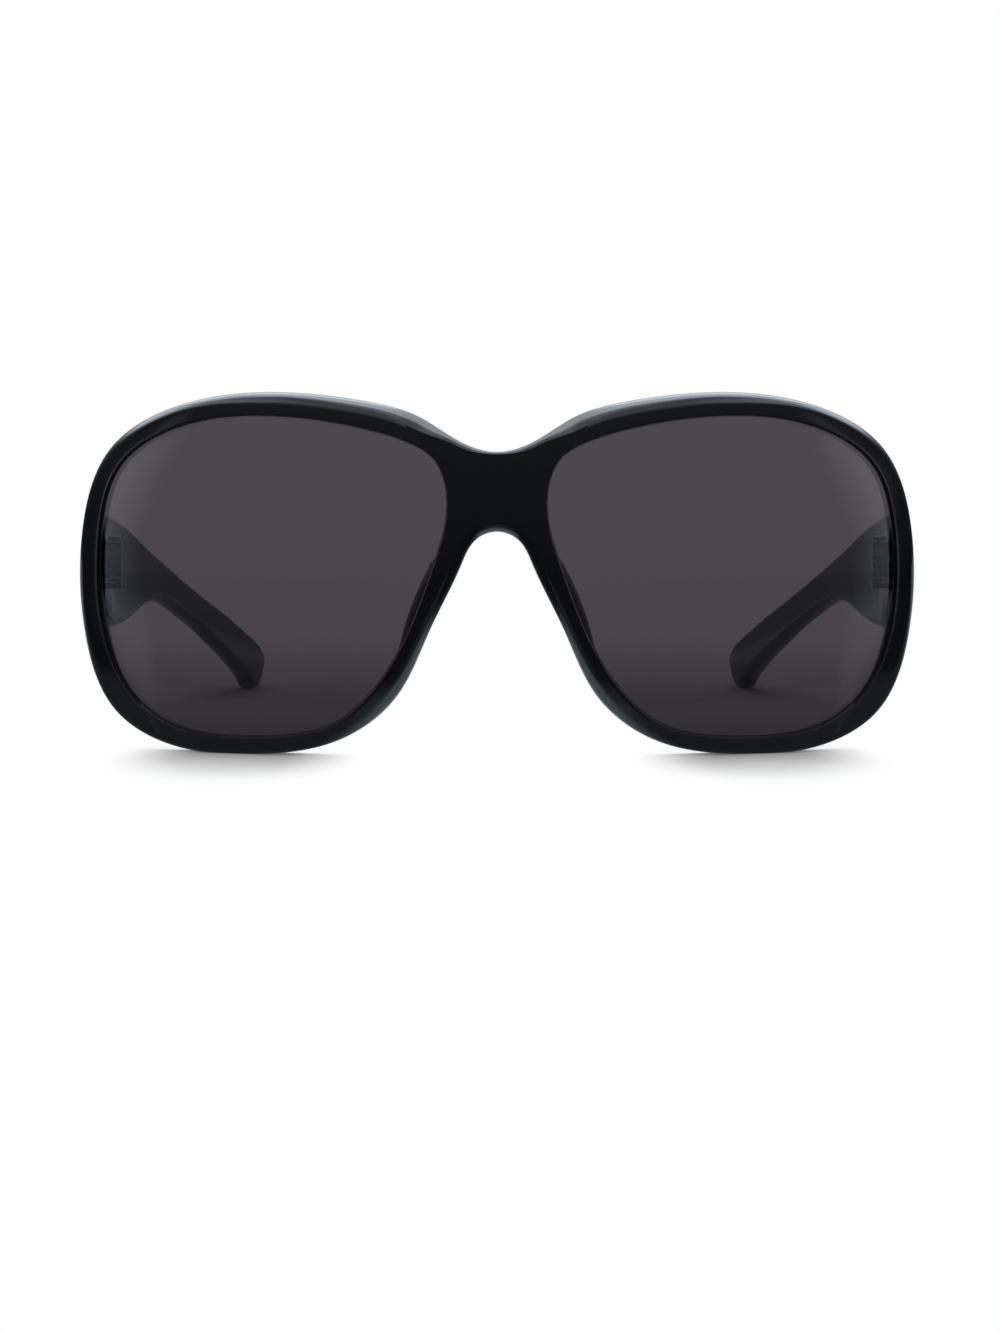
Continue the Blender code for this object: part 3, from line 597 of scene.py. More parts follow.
def curve_to_mesh(name, curve, finish=None):
    """Closed mesh object from a curve with filled caps."""
    carrier = placed(name + " curve", curve)
    mesh = evaluated_mesh(carrier, name)
    bpy.data.objects.remove(carrier, do_unlink=True)
    bm = bmesh.new()
    bm.from_mesh(mesh)
    bmesh.ops.remove_doubles(bm, verts=bm.verts, dist=weld_distance)
    return from_bmesh(name, bm, finish)


def flat_solid(name, outline, bottom, top):
    """Flat outline in X and Y, extruded upright from bottom to top."""
    curve, spline = path_curve(name, [(x, y, 0.0) for x, y in outline], "2D")
    curve.fill_mode = "BOTH"
    curve.extrude = (top - bottom) / 2
    spline.use_cyclic_u = True
    made = curve_to_mesh(name, curve)
    made.data.transform(Matrix.Translation((0.0, 0.0, (top + bottom) / 2)))
    return made


def tube(name, path, radius, finish=None):
    """Round bar along a path of points."""
    curve, _ = path_curve(name, path, "3D")
    curve.bevel_depth = radius
    curve.bevel_resolution = bar_resolution
    curve.use_fill_caps = True
    return curve_to_mesh(name, curve, finish)


def through_points(points, steps, closed, ends=None):
    """Smooth curve through points, with equal steps between each two of them.

    The second derivative is continuous; an open curve leaves in the directions given as ends.
    """
    p = np.array(points, dtype=float)
    count = len(p)
    spans = count if closed else count - 1
    gaps = [np.linalg.norm(p[(i + 1) % count] - p[i]) for i in range(spans)]
    matrix = np.zeros((count, count))
    target = np.zeros_like(p)
    for i in range(count):
        if not closed and i in (0, count - 1):
            matrix[i, i] = 1.0
            target[i] = ends[0] if i == 0 else ends[1]
            continue
        before, after = gaps[i - 1], gaps[i]
        follows = (i + 1) % count
        matrix[i, i - 1] += 1 / before
        matrix[i, i] += 2 / before + 2 / after
        matrix[i, follows] += 1 / after
        target[i] = 3 * ((p[i] - p[i - 1]) / before ** 2 + (p[follows] - p[i]) / after ** 2)
    slopes = np.linalg.solve(matrix, target)
    curve = []
    for i in range(spans):
        a, b, h = p[i], p[(i + 1) % count], gaps[i]
        for t in np.linspace(0.0, 1.0, steps, endpoint=False):
            start = (1 + 2 * t) * (1 - t) ** 2 * a + t * (1 - t) ** 2 * h * slopes[i]
            end = t * t * (3 - 2 * t) * b + t * t * (t - 1) * h * slopes[(i + 1) % count]
            curve.append(start + end)
    if not closed:
        curve.append(p[-1])
    return np.array(curve)


def eased(values, place):
    """Value at a place along a list, easing in and out of each entry."""
    low = min(int(place), len(values) - 1)
    high = min(low + 1, len(values) - 1)
    t = place - low
    return values[low] + (values[high] - values[low]) * t * t * (3 - 2 * t)


def turned(directions, quarter):
    """Unit normals of a run of tangents, turned by a quarter either way."""
    unit = directions / np.linalg.norm(directions, axis=1)[:, None]
    return np.stack([quarter * unit[:, 1], -quarter * unit[:, 0]], axis=1)


def rim_curves(sizes):
    """Outer edge and lens edge of the left rim, with their normals, at matching stations."""
    centre = np.array([(sizes.lens_spacing + sizes.lens_width) / 2, sizes.lens_middle])
    half = np.array([sizes.lens_width / 2, sizes.lens_height / 2])
    table = np.array(rim_shares)
    lens_points = [centre + half * row[:2] for row in table]
    outer_points = [place + sizes.rim_width * row[2:4] for place, row in zip(lens_points, table)]
    for row in bridge_rows:
        outer_points[row][0] = table[row][2] * sizes.lens_spacing / 2
    lens_points.append(centre + half * bridge_lens_share)
    outer = through_points(outer_points, steps_per_row, False, ((1.0, 0.0), (-1.0, 0.0)))
    lens = through_points(lens_points, steps_per_row, True)
    along = np.gradient(outer, axis=0)
    along[0] = (1.0, 0.0)
    along[-1] = (-1.0, 0.0)
    around = np.roll(lens, -1, axis=0) - np.roll(lens, 1, axis=0)
    return outer, turned(along, 1.0), lens, turned(around, -1.0)


def softened(before, corner, after, radius, steps):
    """Points of a small rounding that replaces a corner."""
    start, end = (corner + (far - corner) * min(corner_share, radius / np.linalg.norm(far - corner))
                  for far in (before, after))
    return [start * (1 - t) ** 2 + corner * 2 * t * (1 - t) + end * t * t
            for t in np.linspace(0.0, 1.0, steps + 1)]


def rim_outside(edge, inward, cut, facet, back):
    """Points from the front face over the brow facet or rounding, and over the rim's edge to its back."""
    depth = cut * (1 + (facet_depth_share - 1) * facet)
    points = []
    for step in range(1, round_steps + 1):
        part = step / round_steps
        angle = part * pi / 2
        across = (1 - sin(angle)) * (1 - facet) + (1 - part) * facet
        down = (1 - cos(angle)) * (1 - facet) + part * facet
        points.append((*(edge + inward * cut * across), depth * down))
    points.append((*edge, (depth + back - back_round) / 2))
    for step in range(back_steps):
        angle = step / back_steps * pi / 2
        spot = edge + inward * back_round * (1 - cos(angle))
        points.append((*spot, back - back_round * (1 - sin(angle))))
    return points


def rim_section(sizes, i, outer, inward, lens, outward):
    """Points of the rim's cross-section at a station, from the lens slot round and back.

    Stations past the outer edge's end lie on the middle of the bridge, where the halves meet: their
    face and back end there, and nothing lies between.
    """
    place = min(i / steps_per_row, len(rim_shares) - 1)
    cut, facet, lip, extra = (eased(column, place) for column in list(zip(*rim_shares))[4:])
    back = sizes.thickness + endpiece_extra * extra
    slot_back = lip_depth + 2 * seat_gap + sizes.lens_thickness
    deep = lens[i] + outward[i] * slot_depth
    inner = lens[i] + outward[i] * lip_width * lip
    back_inner = lens[i] + outward[i] * seat_gap * 2

    if i < len(outer):
        face = outer[i] + inward[i] * edge_cut * cut
        rear = outer[i] + inward[i] * back_round
        outside = rim_outside(outer[i], inward[i], edge_cut * cut, facet_flat_share * facet, back)
    else:
        last = len(outer) - 1
        share = (i - last) / (len(lens) - last)
        low, high = outer[last][1], outer[0][1]
        face_low, face_high = low + edge_cut * rim_shares[-1][4], high - edge_cut * rim_shares[0][4]
        face = np.array([0.0, face_low + (face_high - face_low) * share])
        rear = np.array([0.0, low + back_round + (high - low - 2 * back_round) * share])
        outside = [None] * (round_steps + 1 + back_steps)

    corners = ((deep, lip_depth), (lens[i], lip_depth), (inner, 0.0), (face, 0.0), (rear, back),
               (back_inner, back), (lens[i], back - seat_gap), (lens[i], slot_back), (deep, slot_back))
    corners = [np.array((*spot, depth)) for spot, depth in corners]
    slot_front, lip_corner, lip_top, face_start, rear_end, rear_start, seat_corner = corners[:7]
    run = [slot_front]
    run += softened(slot_front, lip_corner, lip_top, slot_round, slot_steps)
    run += softened(lip_corner, lip_top, face_start, lip_round, lip_steps)
    run += [lip_top + (face_start - lip_top) * t for t in np.linspace(1 / face_steps, 1.0, face_steps)]
    run += outside
    run += [rear_end + (rear_start - rear_end) * k / back_face_steps for k in range(back_face_steps)]
    run += softened(rear_end, rear_start, seat_corner, slot_round, slot_steps)
    run += corners[6:]
    return [None if spot is None else sizes.behind(spot[:2], spot[2]) for spot in run]


def screw_hole(name, run, place):
    """Cutter for the straight hole of a leaf screw, from its mouth inward."""
    return drill(name, -run, overrun, leaf_screw_hole, leaf_screw_hole, place)


def screw_places(sizes):
    """Where the leaf screws of the left hinge enter, measured from the hinge axis."""
    to_front = Matrix.Rotation(radians(-90.0), 4, "X")
    to_side = Matrix.Rotation(radians(-90.0), 4, "Y")
    reach = hinge_inset + endpiece_rim_share * sizes.rim_width - seat_gap - endpiece_wall
    offset = (hinge_inset + slot_depth + reach) / 2
    on_front = []
    on_temple = []
    for side in (-1, 1):
        spread = side * leaf_screw_spread
        on_front.append(Matrix.Translation((offset, -axis_behind_land, spread)) @ to_front)
        on_temple.append(Matrix.Translation((axis_behind_land, temple_screw_offset, spread)) @ to_side)
    return reach, on_front, on_temple


def hinge_axis(sizes):
    """Place of the left hinge axis, half way up its knuckles."""
    return Matrix.Translation((sizes.hinge_x, sizes.land + axis_behind_land, sizes.hinge_z))


def leaf_cutters(sizes, low, high, places):
    """Cutters for the seat of a left hinge leaf and for its screws, given about the hinge axis."""
    cuts = [box("leaf seat", low, high)]
    cuts += [screw_hole(f"leaf hole {k}", leaf_screw_length + seat_gap, place)
             for k, place in enumerate(places)]
    for tool in cuts:
        tool.data.transform(hinge_axis(sizes))
    return cuts


def to_world(sizes):
    """Move from the front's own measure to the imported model's, by the left hinge."""
    joint = next(j for j in frame["joints"] if j["child"] == "temple_left_body")
    return Matrix.Translation(Vector(joint["pos_m"]) - hinge_axis(sizes).translation)


def settle(item, sizes, body, node):
    """Set a finished piece in place, in the stead of its plain solid."""
    item.data.transform(to_world(sizes))
    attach(item, body)
    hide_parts(node)


def settle_pair(item, sizes, bodies, node):
    """Set a left piece and its mirror image in place."""
    twin = mirror_copy(item, item.name.replace("left", "right"))
    settle(item, sizes, bodies[0], node + "_left")
    settle(twin, sizes, bodies[1], node + "_right")


front_bodies = ("front", "front")
temple_bodies = ("temple_left_body", "temple_right_body")


class SUNGLASSES_OT_front(Operator):
    """Front: lofted rim with its lens slot, brow facet, endpieces, hinge seats and resting flats"""
    bl_idname = "sunglasses.front"
    bl_label = "Front"

    def execute(self, context):
        sizes, finish = settings(context, polished_acetate)
        curves = rim_curves(sizes)
        sections = [rim_section(sizes, i, *curves) for i in range(len(curves[2]))]
        points = [place for section in sections for place in section if place is not None]
        numbers = iter(range(len(points)))
        rows = [[None if place is None else next(numbers) for place in section] for section in sections]
        front = solid("rim_and_bridge", points, quads(rows + rows[:1]), finish)
        mirror = front.modifiers.new("other half", "MIRROR")
        mirror.merge_threshold = weld_distance

        top = sizes.temple_top + 2 * seat_gap
        bottom = sizes.temple_top * min(row[2] for row in temple_shares[:butt_rows]) - 2 * seat_gap
        half = leaf_height / 2 + seat_gap
        reach, places, _ = screw_places(sizes)
        low = (-2 * knuckle_radius, -axis_behind_land - leaf_thickness - seat_gap, -half)
        high = (reach + seat_gap, -axis_behind_land + overrun, half)
        land = box("land", (sizes.hinge_x - knuckle_radius, sizes.land, bottom),
                   (sizes.wide / 2 + overrun, sizes.land + 2 * sizes.thickness, top))
        for tool in (land, *leaf_cutters(sizes, low, high, places)):
            boolean(front, tool)
            boolean(front, mirror_copy(tool, tool.name + " right"))
        boolean(front, box("rim flat", (-sizes.wide, -sizes.thickness, -sizes.wide),
                           (sizes.wide, sizes.wrap_radius, rest_cut)))
        settle(apply_all(front), sizes, "front", "front_frame")
        return {"FINISHED"}


class SUNGLASSES_OT_lenses(Operator):
    """Lenses: curved sheets of even thickness, with bevelled edges inside the rims' slots"""
    bl_idname = "sunglasses.lenses"
    bl_label = "Lenses"

    def execute(self, context):
        sizes, finish = settings(context, tinted_lens)
        _, _, lens, outward = rim_curves(sizes)
        centre = lens.mean(axis=0)
        edge = slot_depth - seat_gap
        front = lip_depth + seat_gap
        back = front + sizes.lens_thickness
        spread = np.linspace(0.0, 1.0, lens_rings + 2)[1:-1]
        rings = [(centre + (lens - centre) * share, front) for share in spread]
        rings += [
            (lens + outward * (edge - lens_edge_cut), front),
            (lens + outward * edge, front + lens_edge_cut),
            (lens + outward * edge, back - lens_edge_cut),
            (lens + outward * (edge - lens_edge_cut), back),
        ]
        rings += [(centre + (lens - centre) * share, back) for share in reversed(spread)]
        points = [sizes.behind(centre, front)]
        rows = []
        for ring, depth in rings:
            rows.append(list(range(len(points), len(points) + len(ring))))
            points.extend(sizes.behind(place, depth) for place in ring)
        points.append(sizes.behind(centre, back))
        first, last = rows[0], rows[-1]
        faces = quads(rows)
        faces += [(0, b, a) for a, b in zip(first, first[1:] + first[:1])]
        faces += [(a, b, len(points) - 1) for a, b in zip(last, last[1:] + last[:1])]
        settle_pair(solid("left_lens", points, faces, finish), sizes, front_bodies, "lens")
        return {"FINISHED"}


class SUNGLASSES_OT_nose_pads(Operator):
    """Nose pads: arched acetate bumps bonded behind the nasal rims, leaning away from the nose"""
    bl_idname = "sunglasses.nose_pads"
    bl_label = "Nose pads"

    def execute(self, context):
        sizes, finish = settings(context, polished_acetate)
        outer, _, lens, _ = rim_curves(sizes)
        start, end = (round(row * steps_per_row) for row in pad_row_range)
        near, far = pad_across_shares
        rings = []
        for i in range(start, end + 1):
            along = (i - start) / (end - start)
            height = pad_end_height + (pad_height - pad_end_height) * sin(pi * along) ** pad_arch_power
            across = lens[i] - outer[i]
            unit = across / np.linalg.norm(across)
            ring = []
            for angle in np.linspace(0.0, pi, arc_points):
                reach = (near + far) / 2 - (far - near) / 2 * cos(angle)
                place = outer[i] + across * reach + unit * height * pad_lean_share * sin(angle)
                ring.append(sizes.behind(place, sizes.thickness + (height + seat_gap) * sin(angle)))
            rings.append(ring)
        pad = loft("left_nose_pad", rings, finish)
        settle_pair(pad, sizes, front_bodies, "nose_pad")
        return {"FINISHED"}


def temple_inner(sizes, y):
    """Inner face of the left temple: straight behind the hinge, then bending inward."""
    run = y - (sizes.butt + temple_straight)
    share = max(0.0, run / (sizes.temple_length - temple_straight))
    return sizes.hinge_x + axis_behind_land - temple_inset * share ** temple_bend_power


def temple_stations(sizes):
    """Places along the temple: y, top, bottom and thickness."""
    rows = [(share * sizes.temple_length, top * sizes.temple_top, bottom * sizes.temple_top,
             part * sizes.temple_thickness) for share, top, bottom, part in temple_shares]
    curve = through_points(rows, temple_steps, False, temple_end_slopes)
    return [(sizes.butt + y, top, bottom, thick) for y, top, bottom, thick in curve]


def wire_path(sizes, before=0.0, after=0.0):
    """Middle line of the core wire inside the left temple, and how far it runs on at its two ends."""
    stations = np.array(temple_stations(sizes))
    rear = sizes.butt + leaf_height
    end = sizes.butt + sizes.temple_length * wire_length_share
    path = []
    for y in np.linspace(sizes.butt - before, end + after, wire_points):
        top, bottom, thick = (np.interp(y, stations[:, 0], stations[:, k]) for k in (1, 2, 3))
        blend = min(1.0, max(0.0, (y - rear) / wire_settle))
        ease = blend * blend * (3 - 2 * blend)
        side = wire_depth + (thick / 2 - wire_depth) * ease
        z = sizes.hinge_z + ((top + bottom) / 2 - sizes.hinge_z) * ease
        path.append((temple_inner(sizes, y) + side, y, z))
    return path


class SUNGLASSES_OT_temples(Operator):
    """Temples: flat butts, a step down to the arm, slanted tips, hinge seats and wire channels"""
    bl_idname = "sunglasses.temples"
    bl_label = "Temples"

    def execute(self, context):
        sizes, finish = settings(context, polished_acetate)
        stations = temple_stations(sizes)
        first, last = stations[0], stations[-1]
        quarter = np.linspace(0.0, pi / 2, temple_end_points)
        ends = [[(row[0] + way * (1 - cos(a)), *row[1:], temple_end_round * (1 - sin(a))) for a in quarter]
                for row, way in ((first, temple_end_round), (last, -temple_end_round))]
        runs = ends[0]
        runs += [(*row, 0.0) for row in stations
                 if first[0] + temple_end_round < row[0] < last[0] - temple_end_round]
        runs += reversed(ends[1])
        rings = []
        for y, top, bottom, thick, inset in runs:
            inner = temple_inner(sizes, y)
            radius = min(temple_edge_round, thick * corner_share, (top - bottom) * corner_share)
            corners = (
                (inner + thick - radius, top - radius, 0.0),
                (inner + radius, top - radius, pi / 2),
                (inner + radius, bottom + radius, pi),
                (inner + thick - radius, bottom + radius, 3 * pi / 2),
            )
            ring = []
            for x, z, turn in corners:
                for angle in np.linspace(turn, turn + pi / 2, temple_corner_points):
                    ring.append((x + (radius - inset) * cos(angle), y, z + (radius - inset) * sin(angle)))
            rings.append(ring)
        temple = loft("left_temple", rings, finish)

        path = wire_path(sizes, overrun, seat_gap)
        half = leaf_height / 2 + seat_gap
        low = (axis_behind_land - overrun, -2 * knuckle_radius, -half)
        high = (axis_behind_land + leaf_thickness + seat_gap,
                temple_leaf_length - knuckle_radius + seat_gap, half)
        tools = [
            tube("wire channel", path, wire_channel_radius),
            box("tip flat", (0.0, sizes.temple_length / 2, -sizes.wide),
                (sizes.wide, 2 * sizes.temple_length, rest_cut)),
            *leaf_cutters(sizes, low, high, screw_places(sizes)[2]),
        ]
        for tool in tools:
            boolean(temple, tool)
        settle_pair(apply_all(temple), sizes, temple_bodies, "temple")
        return {"FINISHED"}


class SUNGLASSES_OT_core_wires(Operator):
    """Core wires: round nickel silver bars that stiffen the temples"""
    bl_idname = "sunglasses.core_wires"
    bl_label = "Core wires"

    def execute(self, context):
        sizes, finish = settings(context, nickel_silver)
        wire = tube("left_core_wire", wire_path(sizes), wire_radius, finish)
        smoothed(wire.data)
        settle_pair(wire, sizes, temple_bodies, "temple_core_wire")
        return {"FINISHED"}


def knuckle_outline(turn):
    """Round knuckle with a neck down to its leaf, about the axis, turned to suit the leaf."""
    reach = axis_behind_land + leaf_thickness / 2
    outline = [(-knuckle_radius, -reach)]
    for angle in np.linspace(pi, 0.0, arc_points):
        outline.append((knuckle_radius * cos(angle), knuckle_radius * sin(angle)))
    outline.append((knuckle_radius, -reach))
    c, s = cos(turn), sin(turn)
    return [(c * x - s * y, s * x + c * y) for x, y in outline]


def hinge_leaf(name, low, high, turn, knuckles, slots, places, finish):
    """Hinge leaf about its axis: a plate, its knuckles, the slots between them, the bore and the sinks."""
    made = box(name, low, high, finish)
    height = (leaf_height - (knuckle_count - 1) * knuckle_gap) / knuckle_count
    for k in knuckles:
        bottom = -leaf_height / 2 + k * (height + knuckle_gap)
        knuckle = flat_solid(f"{name} knuckle {k}", knuckle_outline(turn), bottom, bottom + height)
        boolean(made, knuckle, "UNION")
    reach = (leaf_height + overrun) / 2
    boolean(made, drill(name + " bore", -reach, reach, bore_radius, bore_radius, Matrix()))
    for k, spot in enumerate(slots):
        start = (low[0] - overrun, low[1] - overrun, spot - leaf_slot / 2)
        end = (low[0] + slot_reach, high[1] + knuckle_gap / 2, spot + leaf_slot / 2)
        boolean(made, box(f"{name} slot {k}", start, end))
    for k, place in enumerate(places):
        bottom = mouth_lift - leaf_thickness * sink_depth_share
        boolean(made, drill(f"{name} sink {k}", bottom, mouth_lift, leaf_screw_hole, sink_mouth, place))
        boolean(made, screw_hole(f"{name} hole {k}", leaf_thickness + overrun, place))
    edge = made.modifiers.new("broken edges", "BEVEL")
    edge.width = metal_edge
    edge.segments = 2
    edge.limit_method = "ANGLE"
    edge.angle_limit = bevel_angle
    return apply_all(made)


class SUNGLASSES_OT_hinges(Operator):
    """Hinges: two stamped leaves a side, with five knuckles between them"""
    bl_idname = "sunglasses.hinges"
    bl_label = "Hinges"

    def execute(self, context):
        sizes, finish = settings(context, nickel_silver)
        half = leaf_height / 2
        reach, on_front, on_temple = screw_places(sizes)
        low = (-knuckle_radius, -axis_behind_land - leaf_thickness, -half)
        high = (reach, -axis_behind_land, half)
        pitch = (leaf_height + knuckle_gap) / knuckle_count
        slots = [k * pitch - half - knuckle_gap / 2 for k in range(1, knuckle_count)]
        ends = range(0, knuckle_count, 2)
        leaf = hinge_leaf("left_front_leaf", low, high, 0.0, ends, slots, on_front, finish)
        leaf.data.transform(hinge_axis(sizes))
        settle_pair(leaf, sizes, front_bodies, "front_hinge_leaf")
        low = (axis_behind_land, -knuckle_radius, -half)
        high = (axis_behind_land + leaf_thickness, temple_leaf_length - knuckle_radius, half)
        between = range(1, knuckle_count, 2)
        leaf = hinge_leaf("left_temple_leaf", low, high, radians(90.0), between, (), on_temple, finish)
        leaf.data.transform(hinge_axis(sizes))
        settle_pair(leaf, sizes, temple_bodies, "temple_hinge_leaf")
        return {"FINISHED"}


def screw_solid(name, head_radius, radius, head_height, run, countersunk, finish):
    """Slotted screw about its own Z axis, its head's top at zero and its shank pointing down."""
    neck = -head_height / 4 if countersunk else -head_height
    profile = [
        (0.0, 0.0),
        (head_radius - metal_edge, 0.0),
        (head_radius, -metal_edge),
        (head_radius, neck),
        (radius, -head_height),
        (radius, -run + radius / 2),
        (radius / 2, -run),
        (0.0, -run),
    ]
    mesh = bpy.data.meshes.new(name)
    mesh.from_pydata([(x, 0.0, z) for x, z in profile], [(i, i + 1) for i in range(len(profile) - 1)], [])
    mesh.materials.append(finish)
    made = placed(name, mesh)
    spin = made.modifiers.new("turn", "SCREW")
    spin.steps = screw_steps
    spin.render_steps = screw_steps
    spin.use_merge_vertices = True
    spin.merge_threshold = weld_distance
    reach = head_radius + overrun
    half = screw_slot / 2
    boolean(made, box(name + " slot", (-reach, -half, -screw_slot), (reach, half, overrun)))
    return apply_all(made)


class SUNGLASSES_OT_screws(Operator):
    """Screws: a cheese-headed screw through each hinge and two countersunk ones through each leaf"""
    bl_idname = "sunglasses.screws"
    bl_label = "Screws"

    def execute(self, context):
        sizes, finish = settings(context, turned_steel)
        axis = hinge_axis(sizes)
        _, on_front, on_temple = screw_places(sizes)
        lift = leaf_height / 2 + seat_gap + hinge_head_height
        pin = screw_solid("left_hinge_screw", hinge_head_radius, hinge_screw_radius, hinge_head_height,
                          hinge_head_height + seat_gap + leaf_height, False, finish)
        pin.data.transform(axis @ Matrix.Translation((0.0, 0.0, lift)))
        settle_pair(pin, sizes, front_bodies, "hinge_screw")
        groups = (("front", on_front, front_bodies), ("temple", on_temple, temple_bodies))
        for group, places, bodies in groups:
            for level, place in zip(("lower", "upper"), places):
                screw = screw_solid(f"left_{group}_leaf_screw_{level}", leaf_head_radius, leaf_screw_radius,
                                    leaf_thickness / 2, leaf_screw_length, True, finish)
                screw.data.transform(axis @ place)
                settle_pair(screw, sizes, bodies, f"{group}_leaf_screw_{level}")
        return {"FINISHED"}


def blended(tree, factor, first, second):
    """Shader that passes from the first to the second as the factor rises."""
    return add_node(tree, "MixShader", None, {0: factor, 1: first, 2: second}).outputs["Shader"]


def glow(tree, kind, tint, strength):
    """Light of one tint, from a surface or from the surroundings."""
    return add_node(tree, kind, None, {"Color": (*tint, 1.0), "Strength": strength}).outputs[0]


def table_top(finishes):
    """Table: white to the camera, but for the contact shadows; through the lenses it has painted shade near
    the glasses, and in reflections it is painted patches of light by place.
    """
    made, tree = new_material("white table top")
    path = add_node(tree, "LightPath").outputs
    spot = add_node(tree, "SeparateXYZ", None, {0: add_node(tree, "NewGeometry").outputs["Position"]}).outputs
    back = spot["Y"]
    aside = calculate(tree, "ABSOLUTE", spot["X"])
    shades = []
    for middle_x, middle_y, reach_x, reach_y in contact_shades:
        over = calculate(tree, "DIVIDE", calculate(tree, "SUBTRACT", aside, middle_x), reach_x)
        along = calculate(tree, "DIVIDE", calculate(tree, "SUBTRACT", back, middle_y), reach_y)
        offset = add_node(tree, "CombineXYZ", None, {"X": over, "Y": along}).outputs["Vector"]
        far = add_node(tree, "VectorMath", {"operation": "LENGTH"}, {0: offset}).outputs["Value"]
        shades.append(fade(tree, far, *contact_fade))
    lit = add_node(tree, "BsdfDiffuse", None, {"Color": (*table_tint, 1.0)}).outputs["BSDF"]
    white = glow(tree, "Emission", finishes.floor, 1.0)
    direct = blended(tree, joined(tree, "MAXIMUM", shades), white, lit)
    # Painted shade on the table seen through the lenses, darker near the glasses
    painted_shade = glow(tree, "Emission", (0.0, 0.0, 0.0), 0.0)
    through = blended(tree, fade(tree, back, *painted_lens_view_shade), painted_shade, direct)
    out = calculate(tree, "SUBTRACT", aside, mirror_corner)
    near = calculate(tree, "MULTIPLY_ADD", back, -1.0, -mirror_corner)
    inputs = {"aside": aside, "back": back, "bearing": calculate(tree, "ARCTAN2", out, near)}
    # Painted reflection: glossy rays see these glowing patches instead of the lit table
    mirrored = glow(tree, "Emission", painted_reflection_tint, patchwork(tree, inputs, painted_table_reflection, "MAXIMUM"))
    shown = blended(tree, path["Is Glossy Ray"], lit, mirrored)
    shown = blended(tree, path["Is Transmission Ray"], shown, through)
    shown = blended(tree, path["Is Camera Ray"], shown, direct)
    add_node(tree, "OutputMaterial", None, {"Surface": shown})
    bm = bmesh.new()
    bmesh.ops.create_grid(bm, x_segments=1, y_segments=1, size=table_size / 2)
    from_bmesh("table_top", bm, made)


def surroundings(finishes):
    """White studio to the camera, a plain fill for the light, and patches of it where it is mirrored."""
    world = bpy.data.worlds.new("studio")
    world.use_nodes = True
    tree = world.node_tree
    tree.nodes.clear()
    path = add_node(tree, "LightPath").outputs
    way = add_node(tree, "SeparateXYZ", None, {0: add_node(tree, "TexCoord").outputs["Generated"]}).outputs
    side = calculate(tree, "ABSOLUTE", way["X"])
    turn = calculate(tree, "ARCTAN2", side, calculate(tree, "MULTIPLY", way["Y"], -1.0))
    inputs = {"height": way["Z"], "side": side, "turn": turn}
    sheen = glow(tree, "Background", sheen_tint, patchwork(tree, inputs, studio_patches, "ADD"))
    fill = glow(tree, "Background", finishes.floor, fill_level)
    white = glow(tree, "Background", finishes.floor, 1.0)
    shown = blended(tree, path["Is Glossy Ray"], fill, sheen)
    seen = calculate(tree, "MAXIMUM", path["Is Camera Ray"], path["Is Transmission Ray"])
    add_node(tree, "OutputWorld", None, {"Surface": blended(tree, seen, shown, white)})
    return world


def softbox():
    """Wide lamp above and a little behind, tilted towards the camera."""
    panel = bpy.data.lights.new("overhead_softbox", "AREA")
    panel.shape = "RECTANGLE"
    panel.size, panel.size_y = softbox_size
    panel.energy = softbox_power
    panel.color = softbox_tint
    lamp = placed("overhead_softbox", panel)
    lamp.location = softbox_place
    lamp.rotation_euler = (softbox_tilt, 0.0, 0.0)


def side_cards():
    """Sheer white cards beside the lenses, which show only as the pale veils mirrored in them."""
    made, tree = new_material("white side card")
    place = add_node(tree, "SeparateXYZ", None, {0: add_node(tree, "TexCoord").outputs["Generated"]}).outputs
    across, up = place["X"], place["Y"]
    upper = calculate(tree, "MAXIMUM", up, card_slant_foot)
    slant = calculate(tree, "MULTIPLY_ADD", upper, card_slant, across)
    rise = calculate(tree, "POWER", fade(tree, slant, *card_rise), card_rise_power)
    inputs = {
        "up": up,
        "steep": calculate(tree, "MULTIPLY_ADD", up, card_steep, across),
        "beside": calculate(tree, "ADD", across, fade(tree, up, *card_shift)),
    }
    strength = calculate(tree, "MULTIPLY", rise, patchwork(tree, inputs, (card_stops,), "ADD"))
    sheer = add_node(tree, "BsdfTransparent", None, {"Color": (1.0, 1.0, 1.0, 1.0)}).outputs["BSDF"]
    veil = add_node(tree, "AddShader", None, {0: sheer, 1: glow(tree, "Emission", card_tint, strength)})
    add_node(tree, "OutputMaterial", None, {"Surface": veil.outputs["Shader"]})
    for name, side in (("side_card_right", -1), ("side_card_left", 1)):
        bm = bmesh.new()
        bmesh.ops.create_grid(bm, x_segments=1, y_segments=1, size=0.5)
        card = from_bmesh(name, bm, made)
        card.scale = (*card_size, 1.0)
        card.rotation_euler = (pi / 2, 0.0, pi / 2 - side * card_turn)
        card.location = (side * card_place[0], *card_place[1:])
        for kind in ("camera", "diffuse", "transmission", "shadow", "volume_scatter"):
            setattr(card, "visible_" + kind, False)


def photo_camera():
    """Camera at the photograph's angle, with a long lens."""
    camera = bpy.data.cameras.new("camera")
    camera.sensor_fit = "HORIZONTAL"
    camera.sensor_width = camera_sensor
    camera.lens = camera_lens
    camera.shift_x = camera_shift
    eye = placed("camera", camera)
    eye.location = camera_place
    eye.rotation_euler = (pi / 2 - camera_tilt, 0.0, 0.0)
    return eye


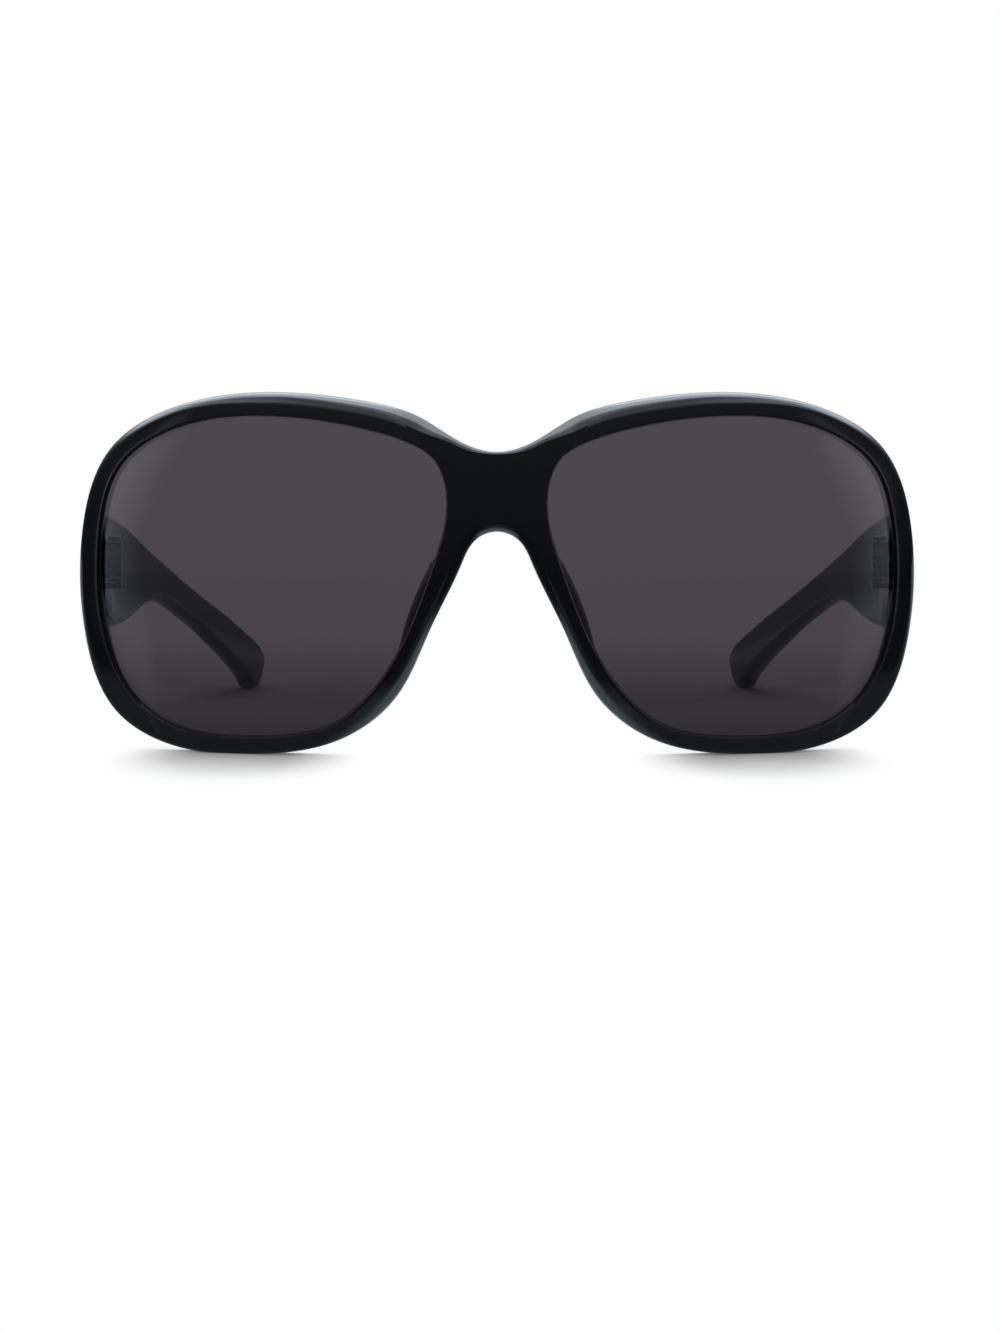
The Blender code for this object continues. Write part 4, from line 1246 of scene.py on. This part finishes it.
class SUNGLASSES_OT_stage(Operator):
    """Stage: a white table and surroundings, soft light and the camera"""
    bl_idname = "sunglasses.stage"
    bl_label = "Stage"

    def execute(self, context):
        finishes = context.scene.sunglasses_finishes
        table_top(finishes)
        context.scene.world = surroundings(finishes)
        softbox()
        side_cards()
        context.scene.camera = photo_camera()
        context.scene.view_settings.view_transform = "Standard"
        return {"FINISHED"}


class SUNGLASSES_PT_panel(Panel):
    """Sidebar panel with the pieces, sizes and colours"""
    bl_label = "Square Sunglasses"
    bl_idname = "SUNGLASSES_PT_panel"
    bl_space_type = "VIEW_3D"
    bl_region_type = "UI"
    bl_category = "Sunglasses"

    def draw(self, context):
        column = self.layout.column(align=True)
        for operator in operators:
            column.operator(operator.bl_idname)
        for group in (context.scene.sunglasses_sizes, context.scene.sunglasses_finishes):
            column.separator()
            for name in group.__annotations__:
                column.prop(group, name)


operators = (
    SUNGLASSES_OT_stage,
    SUNGLASSES_OT_front,
    SUNGLASSES_OT_lenses,
    SUNGLASSES_OT_nose_pads,
    SUNGLASSES_OT_temples,
    SUNGLASSES_OT_core_wires,
    SUNGLASSES_OT_hinges,
    SUNGLASSES_OT_screws,
)
classes = (SUNGLASSES_PG_sizes, SUNGLASSES_PG_finishes, *operators, SUNGLASSES_PT_panel)


def register():
    for item in classes:
        bpy.utils.register_class(item)
    bpy.types.Scene.sunglasses_sizes = PointerProperty(type=SUNGLASSES_PG_sizes)
    bpy.types.Scene.sunglasses_finishes = PointerProperty(type=SUNGLASSES_PG_finishes)


def unregister():
    del bpy.types.Scene.sunglasses_finishes
    del bpy.types.Scene.sunglasses_sizes
    for item in reversed(classes):
        bpy.utils.unregister_class(item)


def main():
    register()
    bpy.ops.sunglasses.stage()
    bpy.ops.sunglasses.front()
    bpy.ops.sunglasses.lenses()
    bpy.ops.sunglasses.nose_pads()
    bpy.ops.sunglasses.temples()
    bpy.ops.sunglasses.core_wires()
    bpy.ops.sunglasses.hinges()
    bpy.ops.sunglasses.screws()


if __name__ == "__main__":
    main()
